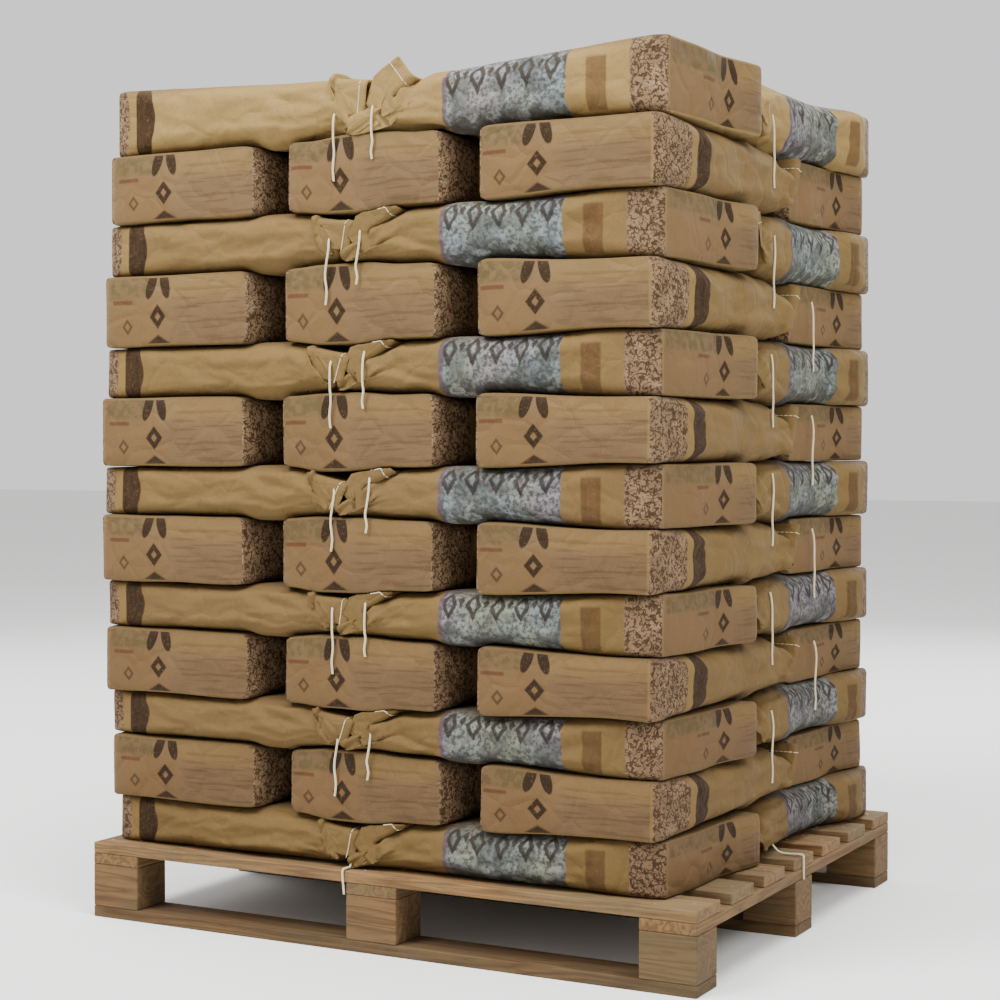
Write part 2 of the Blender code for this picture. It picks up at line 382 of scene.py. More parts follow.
def placing(x, y, degrees, turned, shift):
    """Matrix that lays a sack down in its layer."""
    local = Matrix.Translation((x, y, 0.0)) @ Matrix.Rotation(math.radians(degrees), 4, 'Z')
    half_turn = Matrix.Rotation(math.pi if turned else 0.0, 4, 'Z')
    return np.array(Matrix.Translation((shift, 0.0, 0.0)) @ half_turn @ local)


def bent(turn, rng):
    """An angle from degrees, a little different each time."""
    return math.radians(turn + rng.uniform(-MOUTH_WANDER, MOUTH_WANDER))


def left_mouth(rng, top):
    """Closes at the top of its layer, with its front ear folded down."""
    return Mouth(level=0.91, top_from=0.93, bottom_from=0.945, fin=0.066 if top else 0.074,
                 turn=bent(-8, rng), edge_turns=(bent(-12, rng), bent(0, rng)),
                 folds=(1.0, 0.5), ear=0.022, belly=0.045)


def right_mouth(rng, top):
    """Turns back over itself, standing up where nothing lies on it."""
    turn = bent(146 if top else 150, rng)
    return Mouth(level=(0.52 if top else 0.55) + rng.uniform(-0.04, 0.04), top_from=0.86,
                 bottom_from=0.93, fin=0.060 if top else 0.080, turn=turn,
                 edge_turns=(turn + 0.1, turn + bent(-4, rng)), folds=(0.0, 1.0),
                 ear=0.010 if top else 0.0, belly=0.115 if top else 0.070)


def cross_mouth(rng):
    """Closes halfway up and turns up against the long sacks."""
    return Mouth(level=0.48, top_from=0.85, bottom_from=0.88, fin=0.060, turn=bent(80, rng),
                 edge_turns=(bent(70, rng), bent(70, rng)), folds=(0.3, 0.3),
                 ear=0.0, belly=0.0)


def long_sack(number, side, rng, variants):
    """A sack along the front, with its bottom at the left (side -1) or the right (1).

    The left one's mouth lies down and the right one's turns back over itself.
    In a turned layer both lie at the back, with left and right swapped.
    """
    left, top, turned = side < 0, number == TOP_LAYER, number % 2
    length = layer_half_length(number) + (LEFT_REACH if left and not turned else 0.0)
    x = side * (length - rng.uniform(0.0, END_WANDER))
    y = -layer_half_width(number) + HALF_WIDTH + rng.uniform(0.0, SIDE_WANDER)
    turn = 90.0 * side + rng.uniform(-TURN_WANDER, TURN_WANDER)
    reach, droop = (LEFT_NECKS if left else RIGHT_NECKS)[top]
    corners = (LEFT_TURNED_CORNERS if turned else LEFT_CORNERS) if left else RIGHT_CORNERS
    return Sack(name=f"sack_{number + 1:02d}_long_{'left' if left else 'right'}", layer=number,
                outward='p' if left else 'q',
                place=placing(x, y, turn, turned, layer_shift(number)),
                neck=length + reach + rng.uniform(*LONG_NECK_WANDER),
                halves=(HALF_WIDTH, HALF_WIDTH), corners=corners, skew=0.0, droop=droop,
                slide_end=BOTTOM_SLIDE, slide_side=0.0,
                mouth=left_mouth(rng, top) if left else right_mouth(rng, top),
                variant=int(rng.integers(variants)), seed=int(rng.integers(1 << 30)))


def cross_sack(number, column, rng, variants):
    """A sack across the pallet: three lie side by side, in columns -1, 0 and 1."""
    half_width, turned = layer_half_width(number), number % 2
    x = column * (layer_half_length(number) - HALF_WIDTH + SIDE_BELLY)
    if turned:
        x += TURNED_SHIFTS[column]
    y = half_width - rng.uniform(0.0, END_WANDER)
    turn = 180.0 + rng.uniform(-TURN_WANDER, TURN_WANDER)
    # the side p of a sack that points to -Y is at -X
    return Sack(name=f"sack_{number + 1:02d}_cross_{('left', 'middle', 'right')[column + 1]}",
                layer=number, outward=('p', 'none', 'q')[column + 1],
                place=placing(x, y, turn, turned, layer_shift(number)),
                neck=2 * half_width - SACK_WIDTH + CROSS_NECK + rng.uniform(*CROSS_NECK_WANDER),
                halves=(HALF_WIDTH if column < 0 else CROSS_HALF,
                        HALF_WIDTH if column > 0 else CROSS_HALF),
                corners=CROSS_CORNERS, skew=-BACK_SKEW if column > 0 and not turned else 0.0,
                droop=0.0, slide_end=0.0, slide_side=SIDE_SLIDE, mouth=cross_mouth(rng),
                variant=int(rng.integers(variants)), seed=int(rng.integers(1 << 30)))


def layer_sacks(number, settings):
    """The five sacks of a layer, the same each time they are asked for."""
    rng = np.random.default_rng(settings.seed * 1000 + number)
    longs = [long_sack(number, side, rng, settings.variants) for side in (-1, 1)]
    return longs + [cross_sack(number, column, rng, settings.variants) for column in (-1, 0, 1)]


# How much of the ground a layer covers, for its sag and swell

EDGE_INSET = 0.040
BEARING_EDGE = (-0.012, 0.030)
BEARING_END = (0.90, 1.02)


def covering(sacks, number, x, y):
    """1 where a layer bears, 0 over its mouths and the gaps between sacks."""
    half_length = layer_half_length(number) - EDGE_INSET
    half_width = layer_half_width(number) - EDGE_INSET
    shift = layer_shift(number)
    px = np.clip(x, shift - half_length, shift + half_length)
    py = np.clip(y, -half_width, half_width)
    flat = np.stack([px.ravel(), py.ravel(), np.zeros(px.size), np.ones(px.size)])
    best = np.zeros(px.size)
    for sack in sacks:
        lx, ly = (np.linalg.inv(sack.place) @ flat)[:2]
        half = by_side(lx, sack.halves) * soft_profile(WIDTHS, ly / sack.neck)
        across = ease(half - np.abs(lx), *BEARING_EDGE)
        along = 1.0 - ease(ly / sack.neck, *BEARING_END)
        best = np.maximum(best, across * along)
    return best.reshape(px.shape)


def seam_lift(stack, number, x, y, settings):
    """How far the seam under a layer lies above or below its level."""
    if number in (0, LAYERS):
        return np.zeros_like(x)
    gap_below = 1.0 - covering(stack[number - 1], number - 1, x, y)
    gap_above = 1.0 - covering(stack[number], number, x, y)
    sag = settings.sag * gap_below * (1.0 - gap_above)
    swell = settings.swell * gap_above * (1.0 - gap_below)
    if number == TOP_LAYER:
        return swell - sag
    front = ease(-y, *SWELL_FRONT) * (1.0 - ease(x, *SWELL_RIGHT))
    return swell - sag + TURNED_SWELL * front * (-1.0 if number % 2 else 1.0)


# The skin of a sack

WIDTHS = ((0.00, 0.855), (0.04, 0.89), (0.22, 0.965), (0.45, 1.0), (0.80, 1.0), (1.0, 1.0))
CORNERS = ((0.00, 0.006), (0.05, 0.010), (0.16, 0.022), (0.34, 0.040), (1.0, 0.046))


def girth_shares(p_steps, q_steps):
    """Places around a ring from the middle of its underside, closer on its sides."""
    halves = []
    for steps in (p_steps, q_steps):
        flat = np.linspace(0.0, FLAT_SHARE, FLAT_STEPS, endpoint=False)
        rising = np.concatenate((flat, np.linspace(FLAT_SHARE, 0.25, steps + 1)))
        halves.append(np.concatenate((rising, 0.5 - rising[-2:0:-1])))
    return np.concatenate((halves[0], 0.5 + halves[1]))


class Girth:
    """The points around a sack, with side p at the index middle_p."""

    def __init__(self, outward):
        p_steps = OUTER_STEPS if outward in ("p", "all") else INNER_STEPS
        q_steps = OUTER_STEPS if outward in ("q", "all") else INNER_STEPS
        self.shares = girth_shares(p_steps, q_steps)
        self.count = len(self.shares)
        self.middle_p = FLAT_STEPS + p_steps

    def resample(self, field, shares):
        """A field given at other shares, read at this girth's own."""
        around = np.concatenate((shares, [1.0]))
        rows = [np.interp(self.shares, around, np.append(row, row[0])) for row in field]
        return np.array(rows)


def rounded_ring(shares, width, height, corner):
    """Points of a rounded rectangle at shares of its girth."""
    radius = min(corner, 0.495 * height, 0.495 * width)
    flat, side = width / 2 - radius, height / 2 - radius
    path = [(0.0, -height / 2)]
    corners = ((flat, -side, -90), (flat, side, 0), (-flat, side, 90), (-flat, -side, 180))
    for cx, cz, start in corners:
        for step in range(ARC_STEPS + 1):
            turn = math.radians(start + 90 * step / ARC_STEPS)
            path.append((cx + radius * math.cos(turn), cz + radius * math.sin(turn)))
    path = np.array(path + path[:1])
    run = np.concatenate(([0.0], np.cumsum(np.hypot(*np.diff(path, axis=0).T))))
    return np.stack([np.interp(shares, run / run[-1], column) for column in path.T])


def closing(shares, start, power):
    """0 before a place along the sack and 1 at its neck."""
    return np.clip((shares - start) / (1.0 - start), 0.0, 1.0) ** power


def bottom_rings(height):
    """Rings over the block bottom and then around its rounded edge."""
    width, tall = SACK_WIDTH * WIDTHS[0][1], height * (1.0 - END_SHRINK)
    deepest = tall / 2 - EDGE_ROUND - CAP_SLIT
    rows = []
    for share in np.arange(CAP_RINGS) / CAP_RINGS:
        inset = 2 * (EDGE_ROUND + deepest * (1 - share))
        rows.append((CROWN * share ** 2, height / 2, width - inset, tall - inset,
                     CAP_CORNER, -1.0, 0.0))
    for turn in np.linspace(0.0, math.pi / 2, EDGE_RINGS):
        inset = 2 * EDGE_ROUND * (1 - math.sin(turn))
        past = EDGE_ROUND * (1 - math.cos(turn))
        rows.append((CROWN + past, height / 2, width - inset, tall - inset,
                     CORNERS[0][1], past, 0.0))
    return rows


def body_rings(sack, height, level, flat):
    """Rings from the bottom's edge to the neck, closer together near the neck."""
    start, end = CROWN + EDGE_ROUND, NECK_SHARE * sack.neck
    body = start + (end - start) * (np.arange(BODY_RINGS) + 1) / BODY_RINGS
    closer = 1.0 - (1.0 - (np.arange(NECK_RINGS) + 1) / NECK_RINGS) ** NECK_CROWDING
    along = np.concatenate((body, end + (sack.neck - end) * closer))
    shares = along / sack.neck
    top_from, bottom_from = sack.mouth.top_from, sack.mouth.bottom_from
    shrink = height * END_SHRINK * np.clip(1.0 - shares / 0.05, 0.0, 1.0)
    top = height - shrink - (height - level - flat) * closing(shares, top_from, TOP_FALL)
    bottom = shrink + (level - flat) * closing(shares, bottom_from, BOTTOM_RISE)
    closed = ease(shares, min(top_from, bottom_from), 1.0)
    return list(zip(along, (top + bottom) / 2, SACK_WIDTH * soft_profile(WIDTHS, shares),
                    top - bottom, soft_profile(CORNERS, shares), along - CROWN, closed))


def ring_table(sack, height):
    """The rings of a sack, one row each, up to its neck and then along its fin.

    Columns: place y, z, width, height, corner, print v and share of the mouth.
    """
    level, flat = sack.mouth.level * height, 0.5 * MOUTH_FLAT * height
    rows = bottom_rings(height) + body_rings(sack, height, level, flat)
    for share in (np.arange(FIN_RINGS) + 1) / FIN_RINGS:
        thickness = FIN_THICKNESS + (2 * flat - FIN_THICKNESS) * (1 - share) ** 2
        rows.append((sack.neck, level, SACK_WIDTH, thickness, FIN_CORNER,
                     sack.neck + share * sack.mouth.fin - CROWN, 1.0 + share))
    return np.array(rows)


def ear_fold(sack, x):
    """Folds the ears of a flat mouth down past the sack's sides: x and drop."""
    half, fold = by_side(x, sack.halves), by_side(x, sack.mouth.folds)
    past = np.maximum(np.abs(x) - (half - EAR_RADIUS), 0.0)
    turn = np.minimum(past / EAR_RADIUS, math.pi / 2)
    rest = np.maximum(past - EAR_RADIUS * math.pi / 2, 0.0)
    drop = EAR_RADIUS * (1 - np.cos(turn)) + rest
    folded = np.abs(x) - past + EAR_RADIUS * np.sin(turn)
    limit = np.where(half > CROSS_HALF, half + EAR_SLACK, half)
    straight = np.minimum(np.abs(x), limit)
    return np.sign(x) * (straight + fold * (folded - straight)), drop * fold


def sack_skin(sack, girth, height):
    """Points of the smooth skin, ring by ring, in the sack's own space."""
    table, mouth = ring_table(sack, height), sack.mouth
    points = np.zeros((len(table), girth.count, 3))
    level, step = mouth.level * height, mouth.fin / FIN_RINGS
    tip_y, tip_z = np.full(girth.count, sack.neck), np.full(girth.count, level)
    for index, (y, z, width, tall, corner, _, closed) in enumerate(table):
        x, lift = rounded_ring(girth.shares, width, tall, corner)
        half, fold = by_side(x, sack.halves), by_side(x, mouth.folds)
        flat_share = min(closed, 1.0) ** 3
        x = x * (half + (FIN_HALF + mouth.ear * fold - half) * flat_share) / HALF_WIDTH
        side = ease(np.abs(x), *(share * HALF_WIDTH for share in MOUTH_EDGE))
        x, drop = ear_fold(sack, x)
        turn = np.zeros(girth.count)
        if closed > 1.0:
            turn = mouth.turn + (by_side(x, mouth.edge_turns) - mouth.turn) * side
            turn = turn * ease(closed - 1.0, *TURN_RISE)
            y = tip_y = tip_y + step * np.cos(turn)
            z = tip_z = tip_z + step * np.sin(turn)
        else:
            # the bottom panel hangs out below the fin
            hang = 1.0 - np.clip((z + lift) / level, 0.0, 1.0) ** BELLY_HANG
            y = y + mouth.belly * ease(y / sack.neck, BELLY_FROM, 1.0) * hang
        lift = lift - drop
        points[index] = np.stack([x, y - lift * np.sin(turn), z + lift * np.cos(turn)], axis=1)
    return set_askew(sack, points, height), table


def set_askew(sack, points, height):
    """Sets a bottom's corners back, skews its end and slopes the sack down."""
    x, y, z = np.moveaxis(points, 2, 0)
    back = by_side(x, sack.corners) * ease(np.abs(x), *CORNER_SPAN)
    y = y + back * (1.0 - ease(y, 0.0, CORNER_DEPTH))
    x = x + sack.skew * (1.0 - ease(y, SKEW_FULL, SKEW_FROM))
    z = z * (1.0 + sack.droop * (DROOP_RISE - ease(y / sack.neck)))
    return np.stack([x, y, z if sack.layer == TOP_LAYER else np.minimum(z, height)], axis=2)


def skin_normals(points):
    """Outward normals of a grid that closes around its rings."""
    around = np.roll(points, -1, axis=1) - np.roll(points, 1, axis=1)
    along = np.gradient(points, axis=0)
    normals = np.cross(along, around)
    normals /= np.maximum(np.linalg.norm(normals, axis=2, keepdims=True), 1e-9)
    return -normals


def grid_faces(rings, girth):
    """Quads of the tube, and strips that close both of its ends."""
    count = girth.count
    index = np.arange(rings * count).reshape(rings, count)
    after = np.roll(index, -1, axis=1)
    quads = np.stack([index[:-1], after[:-1], after[1:], index[1:]], axis=-1).reshape(-1, 4)
    faces = [tuple(quad) for quad in quads.tolist()]
    half = count // 2
    for ring, flip in ((0, True), (rings - 1, False)):
        base = ring * count
        # a ring is the same above and below, so its points pair up
        low = [base + (girth.middle_p - step) % count for step in range(half + 1)]
        high = [base + (girth.middle_p + step) % count for step in range(half + 1)]
        for step in range(half):
            # at a strip's end two corners are one point
            face = tuple(dict.fromkeys((low[step], high[step], high[step + 1], low[step + 1])))
            faces.append(face[::-1] if flip else face)
    return faces


def sack_mesh(name, points, table, girth):
    """A mesh on the grid, with the map "print" in metres."""
    rings, count = len(table), girth.count
    mesh = bpy.data.meshes.new(name)
    faces = grid_faces(rings, girth)
    mesh.from_pydata(points.reshape(-1, 3).tolist(), [], faces)
    loops = np.zeros(len(mesh.loops), np.int32)
    mesh.loops.foreach_get("vertex_index", loops)
    ring, place = loops // count, loops % count
    owner = np.repeat(np.arange(len(faces)), [len(face) for face in faces])
    quads = (rings - 1) * count
    on_cap = (owner < CAP_RINGS * count) | ((owner >= quads) & (owner < quads + count // 2))
    # the last quad of a ring reaches round to its first point
    wraps = (owner < quads) & (owner % count == count - 1) & (place == 0)
    u = (girth.shares[place] + wraps - 0.25) * GIRTH
    v = table[ring, 5]
    local = points[ring, place]
    u = np.where(on_cap, local[:, 0], u)
    v = np.where(on_cap, local[:, 2] - 1.0, v)
    layer = mesh.uv_layers.new(name="print")
    layer.data.foreach_set("uv", np.stack([u, v], axis=1).astype(np.float32).ravel())
    mesh.shade_smooth()
    return mesh


# Creases, folds and lumps of the paper

CREASE_REACH = (0.03, 0.12)
CREASE_WIDTH = (0.006, 0.012)
LONGWAYS_SHARE = 0.45
GATHERS = (9, 14, 21)
LUMPS = 7


def crease_field(table, girth, rng, depth, count):
    """Sharp folds at random places and angles, in metres along the normal."""
    u = (girth.shares * GIRTH)[None, :]
    v = table[:, 5][:, None]
    longest = table[-1, 5]
    total = np.zeros((len(table), girth.count))
    for _ in range(count):
        turned = rng.uniform(-0.5, 0.5)
        turned += math.pi / 2 if rng.random() < LONGWAYS_SHARE else 0.0
        centre_u = rng.uniform(0.0, GIRTH)
        centre_v = longest * (1.0 - rng.random() ** 1.6 * 0.92)
        du = (u - centre_u + GIRTH / 2) % GIRTH - GIRTH / 2
        dv = v - centre_v
        across = -math.sin(turned) * dv + math.cos(turned) * du
        along = math.cos(turned) * dv + math.sin(turned) * du
        reach, width = rng.uniform(*CREASE_REACH), rng.uniform(*CREASE_WIDTH)
        fold = np.exp(-np.abs(across) / width) - 0.45 * np.exp(-np.abs(across) / (2.6 * width))
        total += rng.choice((-1.0, 1.0)) * fold * np.exp(-(along / reach) ** 2)
    return depth * total


def pleat_field(table, girth, rng, depth):
    """Gathers that run from the belly into the flat mouth."""
    u = girth.shares[None, :] * 2 * math.pi
    closed = np.clip(table[:, 6][:, None], 0.0, 1.0)
    waves = np.zeros((1, girth.count))
    for count in GATHERS:
        phase = rng.uniform(0, 2 * math.pi)
        waves = waves + (1.0 - 2.0 * np.abs(np.sin(count * u / 2 + phase))) / count * 8
    thin = np.clip(table[:, 3][:, None] / 0.05, 0.10, 1.0)
    return depth * waves * closed * thin


def lump_field(table, girth, rng, depth):
    """The broad unevenness of a sack full of loose goods."""
    u = girth.shares[None, :] * 2 * math.pi
    v = table[:, 5][:, None]
    total = np.zeros((len(table), girth.count))
    for _ in range(LUMPS):
        around, along = rng.integers(1, 6), rng.uniform(8, 42)
        waves = np.cos(around * u + rng.uniform(0, 6.3))
        total += waves * np.cos(along * v + rng.uniform(0, 6.3))
    return depth * total / 3


def blur(field, passes):
    """Smooths a field on the grid, closed around the rings."""
    for _ in range(passes):
        padded = np.concatenate((field[:1], field, field[-1:]))
        rows = (padded[:-2] + 2 * padded[1:-1] + padded[2:]) / 4
        field = (np.roll(rows, 1, axis=1) + 2 * rows + np.roll(rows, -1, axis=1)) / 4
    return field


def simulated(item, held, frames):
    """An object's points after a cloth simulation that leaves a group in place."""
    cloth = item.modifiers.new("paper", 'CLOTH').settings
    for name, value in PAPER_CLOTH.items():
        setattr(cloth, name, value)
    cloth.vertex_group_mass = held
    cloth.effector_weights.gravity = 0.0
    scene = bpy.context.scene
    for number in range(1, frames + 1):
        scene.frame_set(number)
    moved_item = item.evaluated_get(bpy.context.evaluated_depsgraph_get())
    mesh = moved_item.to_mesh()
    moved = np.zeros(len(mesh.vertices) * 3)
    mesh.vertices.foreach_get("co", moved)
    moved_item.to_mesh_clear()
    scene.frame_set(1)
    return moved


def cloth_field(settings, variant):
    """Wrinkles from a simulation of the paper under the pressure of the goods."""
    rng = np.random.default_rng(settings.seed * 77 + variant)
    sack, girth = cross_sack(0, 1, rng, 1), Girth("all")
    points, table = sack_skin(sack, girth, LAYER_PITCH)
    normals = skin_normals(points)
    rough = blur(rng.normal(0.0, START_ROUGHNESS, points.shape[:2]), 2)
    mesh = sack_mesh("paper_trial", points + normals * rough[:, :, None], table, girth)
    item = new_object("paper_trial", mesh)
    held = item.vertex_groups.new(name="held")
    index = np.arange(len(table) * girth.count).reshape(len(table), girth.count)
    held.add(index[:CAP_RINGS + 3].ravel().tolist(), 1.0, 'REPLACE')
    held.add(index[-3:].ravel().tolist(), 1.0, 'REPLACE')
    moved = simulated(item, held.name, settings.cloth_frames).reshape(points.shape)
    bpy.data.objects.remove(item)
    bpy.data.meshes.remove(mesh)
    offset = ((moved - points) * normals).sum(axis=2)
    return np.clip(offset - blur(offset, 24), -settings.cloth_cap, settings.cloth_cap)


def relief_of(sack, normals, table, girth, fields, settings):
    """All of a sack's unevenness, in metres along its normals."""
    rng = np.random.default_rng(sack.seed)
    wrinkles = girth.resample(fields[sack.variant], Girth("all").shares)
    along, tall = table[:, 5][:, None], table[:, 3][:, None]
    closed = np.clip(table[:, 6], 0.0, 1.0)[:, None]
    body = ease(along, 0.05, 0.16)
    relief = wrinkles * body * (0.5 + 0.5 * ease(along, 0.6 * sack.neck, 0.9 * sack.neck))
    relief += crease_field(table, girth, rng, settings.crease_depth, settings.creases) * body
    relief += pleat_field(table, girth, rng, settings.pleat_depth)
    relief += lump_field(table, girth, rng, BODY_LUMPS) * body
    end = lump_field(table, girth, rng, END_LUMPS) * (1.0 - body)
    free = ease(1.0 - np.abs(normals[:, :, 2]), 0.05, 0.5)
    if sack.layer == TOP_LAYER:
        free = np.maximum(free, ease(normals[:, :, 2], 0.0, 0.5))
    slim = np.clip(tall / 0.05, 0.15, 1.0)
    return relief * np.maximum(free, closed ** 3) * slim + end


def lay_down(sack, points, stack, settings):
    """A sack's points in the stack, sagging and swelling with its neighbours."""
    flat = points.reshape(-1, 3)
    x, y = (sack.place[:2, :2] @ flat[:, :2].T) + sack.place[:2, 3:4]
    low, high = (seam_level(number) + seam_lift(stack, number, x, y, settings)
                 for number in (sack.layer, sack.layer + 1))
    low, high = low + CONTACT_GAP / 2, high - CONTACT_GAP / 2
    z = low + flat[:, 2] / LAYER_PITCH * (high - low)
    return np.stack([x, y, z], axis=1).reshape(points.shape)


# Materials: sums and products of sockets, and one way to add any other node

WARM_KRAFT = (0.134, 0.081, 0.033)
COOL_BOTTOM = (0.150, 0.095, 0.044)
# painted light: the top layer's paper lighter, as if more light fell on it
TOP_LIT_KRAFT = (0.270, 0.178, 0.062)
SEAM_SHADE = (0.070, 0.044, 0.022)
# painted shade: the lower layers darker, as if less light reached them
LOW_LAYER_SHADE = (0.78, 0.75, 0.73)
BORDER_GROUND = (0.215, 0.140, 0.080)
BORDER_CLOUD = (0.060, 0.034, 0.018)
PANEL_OLIVE = (0.140, 0.155, 0.115)
PANEL_PURPLE = (0.150, 0.125, 0.155)
PANEL_PALE = (0.22, 0.26, 0.25)
PANEL_DARK = (0.030, 0.036, 0.038)
PANEL_BLOT = (0.036, 0.044, 0.046)
PANEL_FOOT = (0.018, 0.020, 0.022)
LOZENGE_INK = (0.012, 0.012, 0.014)
PANEL_EDGE = (0.075, 0.040, 0.060)
OCHRE = (0.145, 0.078, 0.024)
MOSS = (0.075, 0.055, 0.020)
RUST_BAR = (0.070, 0.020, 0.009)
KNOT = (0.050, 0.022, 0.008)
STAIN = (0.080, 0.055, 0.028)
NAIL_STEEL = (0.23, 0.22, 0.21)
NAIL_RUST = (0.16, 0.075, 0.035)


def maths(operation, turned=False):
    """A method of a wire that adds a Math node, with its values turned round or not."""
    def method(self, *others, clamp=False):
        values = (*others, self) if turned else (self, *others)
        return self.net.add("ShaderNodeMath", {"operation": operation, "use_clamp": clamp},
                            dict(enumerate(values)))
    return method


class Wire:
    """A socket of a material's net; arithmetic on it adds Math nodes."""

    def __init__(self, net, socket):
        self.net = net
        self.socket = socket

    __add__ = __radd__ = maths('ADD')
    __sub__, __rsub__ = maths('SUBTRACT'), maths('SUBTRACT', turned=True)
    __mul__ = __rmul__ = maths('MULTIPLY')
    __pow__ = maths('POWER')
    __mod__ = maths('FLOORED_MODULO')
    __abs__ = maths('ABSOLUTE')
    least = maths('MINIMUM')
    most = maths('MAXIMUM')
    times_plus = maths('MULTIPLY_ADD')

    def above(self, place, soft):
        """0 below a place and 1 above it, with an edge of a given softness."""
        return self.times_plus(1.0 / soft, 0.5 - place / soft, clamp=True)

    def below(self, place, soft):
        return self.times_plus(-1.0 / soft, 0.5 + place / soft, clamp=True)

    def between(self, low, high, soft):
        return self.above(low, soft) * self.below(high, soft)

    def other(self, output):
        """Another output of the node that this wire comes from."""
        return Wire(self.net, self.socket.node.outputs[output])


class Net:
    """The node net of one material."""

    def __init__(self, name, roughness, specular=0.35):
        self.material = bpy.data.materials.new(name)
        self.material.use_nodes = True
        self.tree = self.material.node_tree
        self.shader = self.tree.nodes["Principled BSDF"]
        self.shader.inputs["Roughness"].default_value = roughness
        self.shader.inputs["Specular IOR Level"].default_value = specular

    def add(self, kind, settings=None, sockets=None, output=0):
        """Any node: its type, its settings, then what its sockets hold."""
        node = self.tree.nodes.new(kind)
        for key, value in (settings or {}).items():
            setattr(node, key, value)
        for key, value in (sockets or {}).items():
            self.join(node.inputs[key], value)
        return Wire(self, node.outputs[output])

    def join(self, socket, value):
        if isinstance(value, Wire):
            self.tree.links.new(value.socket, socket)
        elif socket.type == 'RGBA':
            socket.default_value = (*tuple(value)[:3], 1.0)
        else:
            socket.default_value = value

    def feed(self, name, value):
        self.join(self.shader.inputs[name], value)

    def mix(self, share, first, second, blend='MIX'):
        """Two colours, by a share of the second."""
        settings = {"data_type": 'RGBA', "blend_type": blend, "clamp_factor": True}
        return self.add("ShaderNodeMix", settings, {0: share, 6: first, 7: second}, 2)

    def coats(self, base, *coats):
        """Colours laid over a base, one after the other, each by its share."""
        for share, colour in coats:
            base = self.mix(share, base, colour)
        return base

    def stretched(self, vector, scale, shift=(0.0, 0.0, 0.0)):
        return self.add("ShaderNodeMapping", {"vector_type": 'POINT'},
                        {"Vector": vector, "Scale": scale, "Location": shift})

    def noise(self, vector, scale, detail=2.0, rough=0.5, warp=0.0):
        sockets = {"Vector": vector, "Scale": scale, "Detail": detail,
                   "Roughness": rough, "Distortion": warp}
        return self.add("ShaderNodeTexNoise", {}, sockets)

    def creases(self, vector, scale):
        """Distance to the nearest crease of a crumpled sheet, in cells."""
        wander = self.add("ShaderNodeTexNoise", {}, {"Vector": vector, "Scale": scale * 0.6}, 1)
        bent_place = self.add("ShaderNodeVectorMath", {"operation": 'MULTIPLY_ADD'},
                              {0: wander, 1: (0.9 / scale,) * 3, 2: vector})
        return self.add("ShaderNodeTexVoronoi", {"feature": 'DISTANCE_TO_EDGE'},
                        {"Vector": bent_place, "Scale": scale})

    def bump(self, height, distance, strength=1.0, normal=None):
        sockets = {"Height": height, "Distance": distance, "Strength": strength}
        if normal is not None:
            sockets["Normal"] = normal
        return self.add("ShaderNodeBump", {}, sockets)

    def split(self, vector):
        """The three parts of a vector."""
        x = self.add("ShaderNodeSeparateXYZ", {}, {0: vector})
        return x, x.other(1), x.other(2)

    def object_place(self):
        return self.add("ShaderNodeTexCoord", {}, {}, "Object")


def tinted(colour, factor):
    """A colour made lighter or darker."""
    return tuple(min(1.0, channel * factor) for channel in colour)


# Prints of the long sides: from the block bottom on, and up and down from the
# middle of the side, whose face ends softly
SIDE_FACE = (0.060, 0.014)
BORDER_P_END, BORDER_Q_END = 0.036, 0.064
PALE_START, BAND_START, BAND_END = 0.032, 0.052, 0.103
BLOCK_ALONG, BLOCK_UP = (0.108, 0.144), (-0.046, 0.030)
PANEL_ALONG, PANEL_UP = (0.180, 0.408), (0.094, 0.014)
LOZENGE_START, LOZENGE_PITCH = 0.183, 0.0456
LOZENGE_UP, SMALL_LOZENGE_UP = 0.030, 0.036
STRIPE_START = 0.400

# Prints of the block bottoms: across from the middle, and up from the lower edge
LEAVES_ACROSS, LEAVES_UP = -0.042, 0.092
RING_UP = 0.044
SMALL_RING = (-0.112, 0.030)
BAR_ACROSS, BAR_UP = (-0.146, -0.100), (0.063, 0.069)
MOSS_FROM, MOSS_TO, MOSS_UP = -0.152, -0.066, 0.074
EDGE_FROM = 0.158


def sprigs(net, place):
    """Short dark strokes in all directions, closely set."""
    strokes = []
    for scale, shift in ((82.0, 0.0), (118.0, 3.7)):
        moved = net.stretched(place, (1.0,) * 3, (shift,) * 3)
        worm = abs(net.noise(moved, scale, 1.0, 0.5, 0.5) - 0.5).below(0.046, 0.026)
        strokes.append(worm * net.noise(moved, scale * 1.4, 0.0).above(0.40, 0.06))
    return strokes[0].most(strokes[1])


